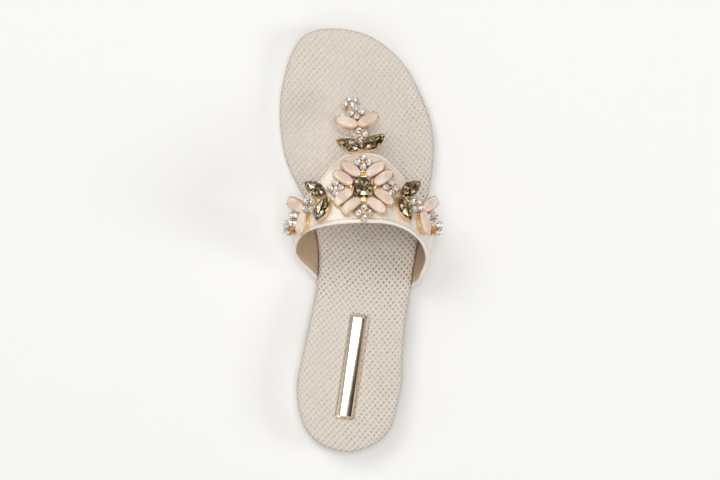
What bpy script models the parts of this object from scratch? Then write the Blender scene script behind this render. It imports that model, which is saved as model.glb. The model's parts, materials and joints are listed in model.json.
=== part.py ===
"""Right-foot embellished thong slide, empty and standing on its sole.

A rubber sole unit with a low heel carries a padded footbed. An arched leather
strap is lasted between the two, a clear toe post stands on the footbed, and a
metal ornament of claw-set stones runs over the strap and down the toe post.
The model frame has +Y from heel to toe, +X to the outer side of the right foot
and +Z up. While the pieces are built, y is the distance from the back of the
heel, x = 0 is the outline's centre line and z = 0 is the ground.
"""
import math

import bmesh
import bpy
import numpy as np

# Sole
SOLE_LENGTH = 0.248
BALL_WIDTH = 0.0906
HEEL_WIDTH = 0.059
HEEL_OFFSET = -0.0056
TOE_TIP_OFFSET = -0.0134
HEEL_LIFT = 0.008
BREAST_RUN = 0.003
TOE_SPRING = 0.005
OUTSOLE_THICKNESS = 0.0035
OUTSOLE_SETBACK = 0.0008
OUTSOLE_CHAMFER = 0.0012
FOOTBED_THICKNESS = 0.005

# Places along the sole, as shares of its length
WAIST_START, WAIST_END = 0.20, 0.55
HEEL_SEAT_END, BALL_START, BALL_END = 0.22, 0.62, 0.76
HEEL_BREAST = 0.235

# Clearance between neighbouring pieces
GAP = 0.0003

# Strap
STRAP_WALL = 0.002
STRAP_MARGIN_WALL = 0.0012
STRAP_MARGIN = 0.010
INSTEP_RISE = 0.049
CROWN_OFFSET = 0.0018
STRAP_PEAK = 0.700
STRAP_BACK = 0.538
FRONT_SET_BACK = 0.041
REAR_SET_BACK = {"medial": 0.0325, "lateral": 0.0368}
SIDE_TUCK = math.radians(38)
POCKET_PLAY = 0.0005

# Clear toe post
POST_DISC_DIAMETER = 0.0195
POST_DISC_THICKNESS = 0.0014
POST_COLUMN_DIAMETER = 0.0065
POST_STEM_DIAMETER = 0.006
POST_FORWARD = 0.0213
POST_OFFSET = -0.0035
POST_TOP_OFFSET = -0.0008
STRIP_WIDTH = 0.009
STRIP_THICKNESS = 0.0016
STRIP_OVERLAP = 0.011
STRIP_REACH = 0.0312
STRIP_DROP = 0.0235
STRIP_SWING = -0.0064
STRIP_POINTS_UNDER, STRIP_POINTS_FREE = 4, 13
ROUND_SIDES, DISC_SIDES = 16, 28

# Inset bar
BAR_LENGTH = 0.060
BAR_WIDTH = 0.0085
BAR_THICKNESS = 0.0019
BAR_SUNK = 0.0010
BAR_BEVEL = 0.0011
BAR_OFFSET = -0.0029
BAR_FROM_HEEL = 0.0499
BAR_TURN = math.radians(-7.9)
BAR_STATIONS = 9
WINDOW_BEVEL = 0.0001

# Ornament
FLOWER_BEHIND_PEAK = 0.0218
PLATE_HEIGHT = 0.0019
PLATE_RIM = 0.0006
BAND_WIDTH = 0.0034
SIDE_BAND_WIDTH = 0.0050
BAND_HEIGHT = 0.0011
STONE_HEIGHT = 0.0024
CLAW_WIDTH = 0.0009
CLAW_THICKNESS = 0.0006
CLAW_RISE = 0.0016
PETAL_CLAW_ANGLE = math.radians(35)
CENTRE_LENGTH, CENTRE_WIDTH = 0.012, 0.010
PETAL_LENGTH, PETAL_WIDTH = 0.0125, 0.0057
PETAL_PAIR_ACROSS, PETAL_PAIR_ALONG = 0.0087, 0.0086
PETAL_SPREAD = 0.0034
PETAL_HEADING = math.radians(38)
SMOKY_LENGTH, SMOKY_WIDTH = 0.015, 0.007
PINK_LENGTH, PINK_WIDTH = 0.013, 0.006
TOE_PAIR_ANGLE, SIDE_PAIR_ANGLE = math.radians(28), math.radians(36)
SIDE_PAIR_TURN = math.radians(-15)
CLUSTER_SPACING = 0.0030
CRYSTAL_DIAMETER = 0.0033
CLUSTER_LIFT = 0.0006
CLUSTER_RIM = 0.0003
FLOWER_CLUSTERS = ((0.0, 0.0139), (0.0148, -0.0004), (0.0, -0.0146), (-0.0148, -0.0004))
LINK_LENGTH, LINK_WIDTH = 0.0044, 0.0050
LINK_ACROSS, LINK_ALONG = 0.0199, -0.0078
ARM_JOINT_ACROSS, ARM_JOINT_ALONG = 0.0200, -0.0043
ARM_HEADING = math.radians(120)
TOE_ARM_RUN_DOWN = 0.020

# Distances along the toe arm from the joint of its smoky pair
TOE_FIRST_CLUSTER = 0.0087
TOE_PINK_JOINT = 0.0157
TOE_SECOND_CLUSTER = 0.0244
TOE_END_CLUSTER = 0.0340

# Distances along a side arm from the joint of its smoky pair
SIDE_FIRST_CLUSTER = 0.0102
SIDE_PINK_JOINT = 0.0146
SIDE_SECOND_CLUSTER = 0.0233
SIDE_END_CLUSTER = 0.0327

# Half widths of the footbed outline, as shares of the width at each place
# (place along the sole, inner side, outer side)
OUTLINE = (
    (0.15, 0.602, 0.434),
    (0.22, 0.550, 0.447),
    (0.29, 0.450, 0.431),
    (0.36, 0.344, 0.416),
    (0.43, 0.275, 0.401),
    (0.50, 0.262, 0.406),
    (0.56, 0.300, 0.433),
    (0.62, 0.371, 0.471),
    (0.68, 0.451, 0.496),
    (0.74, 0.488, 0.499),
    (0.80, 0.500, 0.466),
    (0.86, 0.487, 0.395),
    (0.91, 0.455, 0.320),
    (0.95, 0.413, 0.217),
    (0.98, 0.354, 0.097),
)

# Rolled edge of the footbed, as shares of its thickness (inset, height)
FOOTBED_EDGE = ((0.20, 0.0), (0.0, 0.20), (0.0, 0.60), (0.12, 0.84), (0.34, 0.97), (0.80, 1.0))

# Sections of the foot inside the strap: place along the sole, half width of the
# inner and of the outer side as shares of the ball width, height of the widest
# point and of the crown above the footbed as shares of the instep rise
LAST = (
    (0.34, 0.355, 0.330, 0.330, 1.060),
    (0.40, 0.397, 0.364, 0.330, 1.050),
    (0.46, 0.414, 0.414, 0.335, 1.040),
    (0.54, 0.430, 0.452, 0.345, 1.000),
    (0.62, 0.475, 0.491, 0.335, 0.845),
    (0.70, 0.519, 0.508, 0.305, 0.663),
    (0.78, 0.530, 0.515, 0.280, 0.480),
)

# Front edge of the strap: share of the way from crown to base, share of the set-back
FRONT_EDGE = (
    (0.0, 0.0), (0.07, 0.01), (0.14, 0.04), (0.24, 0.185), (0.32, 0.36),
    (0.36, 0.46), (0.55, 0.74), (0.75, 0.88), (1.0, 1.0),
)

# Rear edge of the strap: share of the way, share of the set-back inside and outside
REAR_EDGE = (
    (0.0, 0.0, 0.0), (0.20, 0.03, 0.03), (0.33, 0.08, 0.12), (0.50, 0.21, 0.33),
    (0.60, 0.34, 0.49), (0.70, 0.50, 0.63), (0.80, 0.68, 0.79), (0.90, 0.84, 0.91), (1.0, 1.0, 1.0),
)

# Free end of the clear strip: shares of its reach, drop and sideways swing
STRIP_LINE = (
    (0.0, 0.0, 0.0), (0.24, 0.12, 0.15), (0.46, 0.26, 0.34), (0.66, 0.44, 0.42),
    (0.81, 0.64, 0.62), (0.91, 0.81, 0.82), (1.0, 1.0, 1.0),
)

# Column of the toe post, from its foot up: share of its lean, share of its radius
POST_COLUMN = ((0.0, 1.5), (0.1, 1.0), (0.8, 1.0), (1.0, 1.2))

# Edge of the toe post's disc, as shares of its thickness (height, inset)
POST_DISC = ((0.0, 0.0), (0.6, 0.0), (1.0, 0.4))

# Profile of every stone: share of its outline, share of its height
STONE_PROFILE = ((0.84, 0.0), (1.0, 0.30), (0.66, 1.0))

SIDES = {"medial": -1.0, "lateral": 1.0}
OUTLINE_SAMPLES = 1440
SOLE_STATIONS = 40
STRAP_STEPS_AROUND = 17
STRAP_STEPS_ALONG = 8
SECTION_SAMPLES = 40
BAND_STEP = 0.0035


def smooth_step(u):
    """Smooth rise from 0 to 1 while u goes from 0 to 1, flat outside."""
    u = np.clip(u, 0.0, 1.0)
    return u * u * (3.0 - 2.0 * u)


def curve_through(x, xs, ys):
    """Cubic Hermite curve through a table, with the table's own slopes."""
    xs, ys = np.asarray(xs, float), np.asarray(ys, float)
    slope = np.gradient(ys, xs)
    i = np.clip(np.searchsorted(xs, x) - 1, 0, len(xs) - 2)
    step = xs[i + 1] - xs[i]
    u = (x - xs[i]) / step
    start = (2 * u**3 - 3 * u**2 + 1) * ys[i] + (u**3 - 2 * u**2 + u) * step * slope[i]
    end = (3 * u**2 - 2 * u**3) * ys[i + 1] + (u**3 - u**2) * step * slope[i + 1]
    return start + end


def closed_spline(points, samples):
    """Periodic cubic spline by chord length; its second derivatives solve a cyclic system."""
    p = np.asarray(points, float)
    ahead, behind = np.roll(p, -1, axis=0), np.roll(p, 1, axis=0)
    h = np.linalg.norm(ahead - p, axis=1)
    before = np.roll(h, 1)
    count = len(p)
    system = np.zeros((count, count))
    for i in range(count):
        system[i, i - 1] = before[i]
        system[i, i] = 2 * (before[i] + h[i])
        system[i, (i + 1) % count] = h[i]
    bend = np.linalg.solve(system, 6 * ((ahead - p) / h[:, None] - (p - behind) / before[:, None]))
    knots = np.concatenate([[0.0], np.cumsum(h)])
    s = np.linspace(0.0, knots[-1], samples, endpoint=False)
    i = np.searchsorted(knots, s, side="right") - 1
    j = (i + 1) % count
    step = h[i][:, None]
    a, b = (knots[i + 1] - s)[:, None], (s - knots[i])[:, None]
    curved = (bend[i] * a**3 + bend[j] * b**3) / (6 * step)
    return curved + (p[i] / step - bend[i] * step / 6) * a + (p[j] / step - bend[j] * step / 6) * b


def width_at(place):
    """Nominal sole width: heel width behind the waist, ball width in front of it."""
    waist = smooth_step((place - WAIST_START) / (WAIST_END - WAIST_START))
    return HEEL_WIDTH + (BALL_WIDTH - HEEL_WIDTH) * waist


def seat_height(y):
    """Underside of the footbed: heel seat, slope through the waist, flat ball, toe spring."""
    place = np.asarray(y) / SOLE_LENGTH
    lift = HEEL_LIFT * (1.0 - smooth_step((place - HEEL_SEAT_END) / (BALL_START - HEEL_SEAT_END)))
    spring = TOE_SPRING * np.clip((place - BALL_END) / (1.0 - BALL_END), 0.0, None) ** 2
    return OUTSOLE_THICKNESS + lift + spring


def footbed_top(y):
    """Top of the footbed away from its rolled edge."""
    return seat_height(y) + FOOTBED_THICKNESS


def ground_height(y):
    """Underside of the outsole: flat heel, breast, then one thickness below the seat."""
    past_breast = np.clip((np.asarray(y) - HEEL_BREAST * SOLE_LENGTH) / BREAST_RUN, 0.0, 1.0)
    return past_breast * (seat_height(y) - OUTSOLE_THICKNESS)


def outline_branches():
    """Inner and outer edge of the footbed: rows of x, y and outward normal by rising y."""
    radius = HEEL_WIDTH / 2
    arc = np.radians(np.arange(180, 361, 30))
    points = [(HEEL_OFFSET + radius * math.cos(a), radius + radius * math.sin(a)) for a in arc]
    points += [(outer * width_at(place), place * SOLE_LENGTH) for place, _, outer in OUTLINE]
    points.append((TOE_TIP_OFFSET, SOLE_LENGTH))
    points += [(-inner * width_at(place), place * SOLE_LENGTH) for place, inner, _ in reversed(OUTLINE)]
    curve = closed_spline(points, OUTLINE_SAMPLES)
    tangent = np.roll(curve, -1, axis=0) - np.roll(curve, 1, axis=0)
    tangent /= np.linalg.norm(tangent, axis=1)[:, None]
    rows = np.column_stack([curve, tangent[:, 1], -tangent[:, 0]])
    rows = np.roll(rows, -int(np.argmin(rows[:, 1])), axis=0)
    toe = int(np.argmax(rows[:, 1]))
    outer = rows[:toe + 1]
    inner = np.vstack([rows[toe:], rows[:1]])[::-1]
    return {"medial": inner, "lateral": outer}


BRANCHES = outline_branches()


def edge_x(side, y):
    """x of the footbed's edge on one side at distance y from the heel."""
    branch = BRANCHES[side]
    return np.interp(y, branch[:, 1], branch[:, 0])


def sole_stations():
    """Distances from the heel where the sole's rings have points, closer at both ends."""
    first, last = BRANCHES["lateral"][0, 1], BRANCHES["lateral"][-1, 1]
    share = (1.0 - np.cos(np.linspace(0.0, math.pi, SOLE_STATIONS))) / 2
    breast = HEEL_BREAST * SOLE_LENGTH
    stations = np.concatenate([first + (last - first) * share, [breast, breast + BREAST_RUN]])
    return np.sort(stations)


def sole_ring(inset, height):
    """Closed ring of the outline moved inwards: heel, inner side, toe, outer side."""
    stations = sole_stations()
    inner, outer = [
        np.column_stack([np.interp(stations, BRANCHES[side][:, 1], BRANCHES[side][:, k]) for k in (0, 2, 3)])
        for side in SIDES
    ]
    base = np.vstack([inner, outer[-2:0:-1]])
    y = np.concatenate([stations, stations[-2:0:-1]])
    moved = np.column_stack([base[:, 0], y]) - inset * base[:, 1:]
    return np.column_stack([moved, height(moved[:, 1])])


def solid(name, points, faces, material, smooth_below=35.0):
    """Object from points and faces, faces turned outwards, shaded smooth below an angle."""
    mesh = bpy.data.meshes.new(name)
    mesh.from_pydata([tuple(map(float, p)) for p in points], [], faces)
    work = bmesh.new()
    work.from_mesh(mesh)
    bmesh.ops.recalc_face_normals(work, faces=work.faces)
    work.to_mesh(mesh)
    work.free()
    mesh.shade_smooth()
    mesh.set_sharp_from_angle(angle=math.radians(smooth_below))
    if material:
        mesh.materials.append(material)
    piece = bpy.data.objects.new(name, mesh)
    bpy.context.scene.collection.objects.link(piece)
    return piece


def band_faces(rings, count):
    """Quads between neighbouring rings of count points each."""
    return [
        (r * count + i, r * count + (i + 1) % count, (r + 1) * count + (i + 1) % count, (r + 1) * count + i)
        for r in range(rings - 1) for i in range(count)
    ]


def ladder_faces(first, count):
    """Cap of a sole ring: a triangle at each tip and one rung per pair of stations."""
    half = count // 2
    faces = [(first, first + 1, first + count - 1), (first + half - 1, first + half, first + half + 1)]
    for k in range(1, half - 1):
        faces.append((first + k, first + k + 1, first + count - k - 1, first + count - k))
    return faces


def stacked_solid(name, rings, material):
    """Closed body through sole rings, from the lowest to the highest."""
    count = len(rings[0])
    faces = band_faces(len(rings), count)
    faces += ladder_faces(0, count) + ladder_faces((len(rings) - 1) * count, count)
    return solid(name, np.vstack(rings), faces, material)


def lofted_solid(name, rings, material):
    """Closed body through rings of equal count, with a flat cap at each end."""
    count = len(rings[0])
    last = (len(rings) - 1) * count
    faces = band_faces(len(rings), count)
    faces += [tuple(range(count)), tuple(range(last, last + count))]
    return solid(name, np.vstack(rings), faces, material)


def combine(target, others, operation):
    """Boolean of the target with all of the others at once, kept as its new mesh."""
    group = bpy.data.collections.new("operands")
    for other in others:
        group.objects.link(other)
    step = target.modifiers.new(operation.title(), "BOOLEAN")
    step.operation = operation
    step.solver = "EXACT"
    step.operand_type = "COLLECTION"
    step.collection = group
    bpy.context.view_layer.update()
    result = bpy.data.meshes.new_from_object(target.evaluated_get(bpy.context.evaluated_depsgraph_get()))
    target.modifiers.clear()
    target.data = result
    result.name = target.name
    bpy.data.collections.remove(group)
    for other in others:
        bpy.data.objects.remove(other)
    return target


def make_material(name, colour, roughness, metallic=0.0, transmission=0.0):
    """Principled material with its colour, roughness and metallic value."""
    material = bpy.data.materials.new(name)
    material.use_nodes = True
    shader = material.node_tree.nodes["Principled BSDF"]
    shader.inputs["Base Color"].default_value = (*colour, 1.0)
    shader.inputs["Roughness"].default_value = roughness
    shader.inputs["Metallic"].default_value = metallic
    shader.inputs["Transmission Weight"].default_value = transmission
    return material


def strap_edges(side, share):
    """Front and rear edge of the strap, as distances from the heel, at a share of its half arc."""
    front = curve_through(share, *zip(*FRONT_EDGE))
    shares, inner, outer = zip(*REAR_EDGE)
    rear = curve_through(share, shares, inner if SIDES[side] < 0 else outer)
    return (STRAP_PEAK * SOLE_LENGTH - FRONT_SET_BACK * front,
            STRAP_BACK * SOLE_LENGTH - REAR_SET_BACK[side] * rear)


def last_section(side, y):
    """Half section of the foot at y, from the crown to the footbed's edge.

    A quarter ellipse runs from the crown to the widest point, and a Hermite
    curve tucks in from there to the side of the footbed.
    """
    places, inner, outer, widest, crown = zip(*LAST)
    sign = SIDES[side]
    place = y / SOLE_LENGTH
    half = BALL_WIDTH * curve_through(place, places, inner if sign < 0 else outer)
    top = footbed_top(y)
    wide_z = top + INSTEP_RISE * curve_through(place, places, widest)
    crown_z = top + INSTEP_RISE * curve_through(place, places, crown)
    angle = np.linspace(0.0, math.pi / 2, SECTION_SAMPLES)
    upper = np.column_stack([
        CROWN_OFFSET + sign * half * np.sin(angle),
        wide_z + (crown_z - wide_z) * np.cos(angle),
    ])
    start = upper[-1]
    end = np.array([edge_x(side, y) + sign * GAP, seat_height(y) + FOOTBED_EDGE[2][1] * FOOTBED_THICKNESS])
    pull = np.linalg.norm(end - start)
    leave = pull * np.array([0.0, -1.0])
    arrive = pull * np.array([-sign * math.sin(SIDE_TUCK), -math.cos(SIDE_TUCK)])
    u = np.linspace(0.0, 1.0, SECTION_SAMPLES)[1:, None]
    lower = ((2 * u**3 - 3 * u**2 + 1) * start + (u**3 - 2 * u**2 + u) * leave
             + (3 * u**2 - 2 * u**3) * end + (u**3 - u**2) * arrive)
    return np.vstack([upper, lower])


def section_lengths(section):
    """Running length along a section."""
    return np.concatenate([[0.0], np.cumsum(np.linalg.norm(np.diff(section, axis=0), axis=1))])


def last_point(side, share, y):
    """Point on the inside of the strap at a share of its half arc."""
    section = last_section(side, y)
    length = section_lengths(section)
    at = share * length[-1]
    return np.array([np.interp(at, length, section[:, 0]), y, np.interp(at, length, section[:, 1])])


def margin_points(side, y):
    """Lasting margin: down the footbed's side, round its lower edge and in under it."""
    sign = SIDES[side]
    edge, seat = edge_x(side, y), seat_height(y)
    chamfer = FOOTBED_EDGE[0][0] * FOOTBED_THICKNESS
    return [
        np.array([edge + sign * GAP, y, seat + chamfer]),
        np.array([edge - sign * chamfer, y, seat - GAP]),
        np.array([edge - sign * STRAP_MARGIN, y, seat - GAP]),
    ]


def strap_grid():
    """Inner surface of the strap: rows from the inner margin over the crown to the outer margin."""
    along = np.linspace(0.0, 1.0, STRAP_STEPS_ALONG)
    shares = np.linspace(0.0, 1.0, STRAP_STEPS_AROUND)
    halves = {}
    for side in SIDES:
        rows = []
        for share in shares:
            front, rear = strap_edges(side, share)
            rows.append([last_point(side, share, rear + v * (front - rear)) for v in along])
        front, rear = strap_edges(side, 1.0)
        margins = [margin_points(side, rear + v * (front - rear)) for v in along]
        rows += [[margin[k] for margin in margins] for k in range(3)]
        halves[side] = rows
    return np.array(halves["medial"][::-1] + halves["lateral"][1:])


def strap(material):
    """One hollow leather wall, thinner where it is lasted under the footbed."""
    inner = strap_grid()
    rows, columns = inner.shape[:2]
    normal = np.cross(np.gradient(inner, axis=0), np.gradient(inner, axis=1))
    normal /= np.linalg.norm(normal, axis=2)[:, :, None]
    wall = np.full(rows, STRAP_WALL)
    wall[:2] = wall[-2:] = STRAP_MARGIN_WALL
    wall[2] = wall[-3] = (STRAP_WALL + STRAP_MARGIN_WALL) / 2
    outer = inner + normal * wall[:, None, None]
    points = np.vstack([inner.reshape(-1, 3), outer.reshape(-1, 3)])
    size = rows * columns
    faces = []
    for layer in (0, size):
        for r in range(rows - 1):
            for c in range(columns - 1):
                at = layer + r * columns + c
                faces.append((at, at + 1, at + columns + 1, at + columns))
    rim = [r * columns for r in range(rows)]
    rim += [(rows - 1) * columns + c for c in range(1, columns)]
    rim += [r * columns + columns - 1 for r in range(rows - 2, -1, -1)]
    rim += list(range(columns - 2, 0, -1))
    faces += [(a, b, b + size, a + size) for a, b in zip(rim, rim[1:] + rim[:1])]
    return solid("strap", points, faces, material)


def strap_pocket(side):
    """Cutter for the recess in the outsole that takes one lasting margin."""
    sign = SIDES[side]
    front, rear = strap_edges(side, 1.0)
    rings = []
    for y in np.linspace(rear - POCKET_PLAY, front + POCKET_PLAY, STRAP_STEPS_ALONG):
        deep = edge_x(side, y) - sign * (STRAP_MARGIN + POCKET_PLAY)
        wide = edge_x(side, y) + sign * FOOTBED_THICKNESS
        floor = seat_height(y) - STRAP_MARGIN_WALL - 2 * GAP
        roof = seat_height(y) + FOOTBED_THICKNESS
        rings.append(np.array([(deep, y, floor), (wide, y, floor), (wide, y, roof), (deep, y, roof)]))
    return lofted_solid("pocket", rings, None)


def outsole(material):
    """Rubber unit with its low heel, chamfered at the ground and recessed for the strap."""
    rings = [
        sole_ring(OUTSOLE_SETBACK + OUTSOLE_CHAMFER, ground_height),
        sole_ring(OUTSOLE_SETBACK, lambda y: ground_height(y) + OUTSOLE_CHAMFER),
        sole_ring(OUTSOLE_SETBACK, lambda y: seat_height(y) - GAP),
    ]
    body = stacked_solid("outsole", rings, material)
    return combine(body, [strap_pocket(side) for side in SIDES], "DIFFERENCE")


def bar_section(clearance, low, high, bevel):
    """Cross-section of the bar: half widths and levels above the footbed's top."""
    half = BAR_WIDTH / 2 + clearance
    return np.array([
        (-half, low), (half, low), (half, high - bevel),
        (half - bevel, high), (bevel - half, high), (-half, high - bevel),
    ])


def bar_rings(clearance, low, high, bevel):
    """Rings along the bar, following the footbed; its ends are bevelled as its sides are."""
    half = BAR_LENGTH / 2 + clearance
    spots = np.concatenate([[-half], np.linspace(bevel - half, half - bevel, BAR_STATIONS), [half]])
    rings = []
    for spot in spots:
        section = bar_section(clearance, low, high, bevel)
        if abs(spot) == half:
            section[:, 1] = np.minimum(section[:, 1], high - bevel)
        x = BAR_OFFSET - spot * math.sin(BAR_TURN) + section[:, 0] * math.cos(BAR_TURN)
        y = BAR_FROM_HEEL + spot * math.cos(BAR_TURN) + section[:, 0] * math.sin(BAR_TURN)
        rings.append(np.column_stack([x, y, footbed_top(y) + section[:, 1]]))
    return rings


def inset_bar(material):
    """Plain bevelled metal bar, sunk in the footbed."""
    rings = bar_rings(0.0, GAP - BAR_SUNK, BAR_THICKNESS - BAR_SUNK, BAR_BEVEL)
    return lofted_solid("inset_bar", rings, material)


def strap_tip():
    """Top of the strap's inside at the front peak."""
    return last_point("lateral", 0.0, STRAP_PEAK * SOLE_LENGTH)


def post_place():
    """Centre of the toe post's disc in plan."""
    return np.array([POST_OFFSET, STRAP_PEAK * SOLE_LENGTH + POST_FORWARD])


def cylinder_rings(levels, sides):
    """Rings of a round body from rows of centre x, y, z and radius."""
    angle = np.linspace(0.0, 2 * math.pi, sides, endpoint=False)
    return [
        np.column_stack([x + r * np.cos(angle), y + r * np.sin(angle), np.full(sides, z)])
        for x, y, z, r in levels
    ]


def footbed(material):
    """Padded footbed with a rolled edge, a window for the bar and a hole for the toe post."""
    rings = [
        sole_ring(inset * FOOTBED_THICKNESS, lambda y, h=height: seat_height(y) + h * FOOTBED_THICKNESS)
        for inset, height in FOOTBED_EDGE
    ]
    body = stacked_solid("footbed", rings, material)
    window = lofted_solid("window", bar_rings(GAP, -BAR_SUNK, FOOTBED_THICKNESS, WINDOW_BEVEL), None)
    x, y = post_place()
    radius = POST_STEM_DIAMETER / 2 + GAP
    top, bottom = footbed_top(y) + FOOTBED_THICKNESS, seat_height(y) - FOOTBED_THICKNESS
    shaft = cylinder_rings([(x, y, bottom, radius), (x, y, top, radius)], ROUND_SIDES)
    hole = lofted_solid("hole", shaft, None)
    return combine(body, [window, hole], "DIFFERENCE")


def strip_line():
    """Top centre line of the clear strip, from under the strap to its free end."""
    tip = strap_tip()
    under = []
    for back in np.linspace(STRIP_OVERLAP, 0.0, STRIP_POINTS_UNDER):
        point = last_point("lateral", 0.0, tip[1] - back)
        under.append(point - (0.0, 0.0, 2 * GAP))
    share = np.linspace(0.0, 1.0, STRIP_POINTS_FREE + 1)[1:]
    knots = np.linspace(0.0, 1.0, len(STRIP_LINE))
    reach, drop, swing = [curve_through(share, knots, column) for column in zip(*STRIP_LINE)]
    free = under[-1] + np.column_stack([STRIP_SWING * swing, STRIP_REACH * reach, -STRIP_DROP * drop])
    return np.vstack([under, free])


def line_frames(line):
    """Frames along a line: origin, sideways, forward and upward axis at each point."""
    forward = np.gradient(line, axis=0)
    forward /= np.linalg.norm(forward, axis=1)[:, None]
    sideways = np.cross(forward, (0.0, 0.0, 1.0))
    sideways /= np.linalg.norm(sideways, axis=1)[:, None]
    return [(o, s, f, np.cross(s, f)) for o, s, f in zip(line, sideways, forward)]


def band_rings(frames, width, low, high):
    """Rectangular rings of a flat band carried along frames."""
    corners = ((-width / 2, low), (width / 2, low), (width / 2, high), (-width / 2, high))
    return [np.array([o + a * s + b * n for a, b in corners]) for o, s, _, n in frames]


def toe_post(material):
    """Clear moulding: strip from under the strap, column, disc on the footbed and stem."""
    line = strip_line()
    band_shape = band_rings(line_frames(line), STRIP_WIDTH, -STRIP_THICKNESS, 0.0)
    strip = lofted_solid("toe_post", band_shape, material)
    x, y = post_place()
    floor = footbed_top(y) + GAP
    lean = POST_TOP_OFFSET - POST_OFFSET
    heights = (floor + POST_DISC_THICKNESS / 2, floor + 2 * POST_DISC_THICKNESS, 0.0, 0.0)
    column_rings = cylinder_rings([
        (x + share * lean, y, z, wide * POST_COLUMN_DIAMETER / 2)
        for (share, wide), z in zip(POST_COLUMN, heights)
    ], ROUND_SIDES)
    for ring, below in zip(column_rings[2:], (3 * STRIP_THICKNESS, STRIP_THICKNESS / 2)):
        ring[:, 2] = np.interp(ring[:, 1], line[:, 1], line[:, 2]) - below
    column = lofted_solid("column", column_rings, None)
    disc_rings = cylinder_rings([
        (x, y, GAP + height * POST_DISC_THICKNESS, POST_DISC_DIAMETER / 2 - inset * POST_DISC_THICKNESS)
        for height, inset in POST_DISC
    ], DISC_SIDES)
    for ring in disc_rings:
        ring[:, 2] += footbed_top(ring[:, 1])
    disc = lofted_solid("disc", disc_rings, None)
    stem = lofted_solid("stem", cylinder_rings([
        (x, y, seat_height(y) + GAP, POST_STEM_DIAMETER / 2),
        (x, y, floor + POST_DISC_THICKNESS / 3, POST_STEM_DIAMETER / 2),
    ], ROUND_SIDES), None)
    return combine(strip, [column, disc, stem], "UNION")


def turned(frame, heading):
    """Frame turned about its own up axis, by an angle from forward towards sideways."""
    origin, sideways, forward, up = frame
    cos, sin = math.cos(heading), math.sin(heading)
    return origin, sideways * cos - forward * sin, forward * cos + sideways * sin, up


def moved(frame, sideways, forward):
    """Frame moved in its own plane."""
    return frame[0] + sideways * frame[1] + forward * frame[2], *frame[1:]


def strap_frame(across, along):
    """Frame just above the strap, from the flower's centre: across the strap, along the foot."""
    side = "medial" if across < 0 else "lateral"
    y = STRAP_PEAK * SOLE_LENGTH - FLOWER_BEHIND_PEAK + along

    def inside(distance, at):
        section = last_section(side, at)
        length = section_lengths(section)
        x, z = [np.interp(distance, length, section[:, k]) for k in (0, 1)]
        return np.array([x, at, z])

    near = max(abs(across), GAP)
    point = inside(abs(across), y)
    sideways = (inside(near + GAP, y) - inside(near - GAP, y)) * SIDES[side]
    forward = inside(abs(across), y + GAP) - inside(abs(across), y - GAP)
    up = np.cross(sideways, forward)
    up /= np.linalg.norm(up)
    forward /= np.linalg.norm(forward)
    return point + (STRAP_WALL + GAP) * up, np.cross(forward, up), forward, up


def toe_arm_frame(distance):
    """Frame above the clear strip, from the strap's tip: it runs down from the strap's face."""
    line = strip_line()
    line = line[np.argmin(np.abs(line[:, 1] - strap_tip()[1])):]
    run = section_lengths(line)
    here, ahead = [
        np.array([np.interp(at, run, line[:, k]) for k in range(3)])
        for at in (distance, distance + GAP)
    ]
    forward = (ahead - here) / np.linalg.norm(ahead - here)
    sideways = np.cross(forward, (0.0, 0.0, 1.0))
    sideways /= np.linalg.norm(sideways)
    up = np.cross(sideways, forward)
    lift = (STRAP_WALL + 3 * GAP) * (1.0 - smooth_step(distance / TOE_ARM_RUN_DOWN)) + GAP
    return here + lift * up, sideways, forward, up


def side_arm_frame(side, distance):
    """Frame above the strap on one side, its forward axis running out along the arm."""
    sign = SIDES[side]
    across = ARM_JOINT_ACROSS + distance * math.sin(ARM_HEADING)
    along = ARM_JOINT_ALONG + distance * math.cos(ARM_HEADING)
    return turned(strap_frame(sign * across, along), sign * ARM_HEADING)


ARMS = {
    "toe": toe_arm_frame,
    "medial": lambda distance: side_arm_frame("medial", distance),
    "lateral": lambda distance: side_arm_frame("lateral", distance),
}


TOE_ARM = (TOE_FIRST_CLUSTER, TOE_PINK_JOINT, TOE_SECOND_CLUSTER, TOE_END_CLUSTER)
SIDE_ARM = (SIDE_FIRST_CLUSTER, SIDE_PINK_JOINT, SIDE_SECOND_CLUSTER, SIDE_END_CLUSTER)


def oval(length, width):
    """Outline of an oval stone, its length along the forward axis."""
    angle = np.radians(np.arange(15, 375, 30))
    return np.column_stack([width / 2 * np.cos(angle), length / 2 * np.sin(angle)])


def navette(length, width):
    """Outline of a pointed boat-shaped stone: two parabolas that meet at its tips."""
    y = np.linspace(-1.0, 1.0, 7)
    bow = 1.0 - y**2
    right = np.column_stack([width / 2 * bow, length / 2 * y])
    return np.vstack([right, (right * (-1.0, 1.0))[-2:0:-1]])


def cushion(length, width):
    """Outline of a cushion stone: a superellipse of the third power."""
    angle = np.radians(np.arange(0, 360, 24))
    c, s = np.cos(angle), np.sin(angle)
    radius = (np.abs(c) ** 3 + np.abs(s) ** 3) ** (-1 / 3)
    return np.column_stack([width / 2 * radius * c, length / 2 * radius * s])


def quatrefoil(spacing, diameter):
    """Outline of four round crystals in a cross: four arc points on each."""
    points = []
    for quarter in range(4):
        turn = quarter * math.pi / 2
        for degrees in (-100, -33, 33, 100):
            a = turn + math.radians(degrees)
            points.append((spacing * math.cos(turn) + diameter / 2 * math.cos(a),
                           spacing * math.sin(turn) + diameter / 2 * math.sin(a)))
    return np.array(points)


def on_frame(frame, flat, height):
    """Points of a flat outline laid in a frame at a height."""
    origin, sideways, forward, up = frame
    return origin + flat[:, :1] * sideways + flat[:, 1:] * forward + height * up


def setting_plate(frame, flat, height=PLATE_HEIGHT):
    """Solid back plate of a setting."""
    return lofted_solid("plate", [on_frame(frame, flat, 0.0), on_frame(frame, flat, height)], None)


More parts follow.
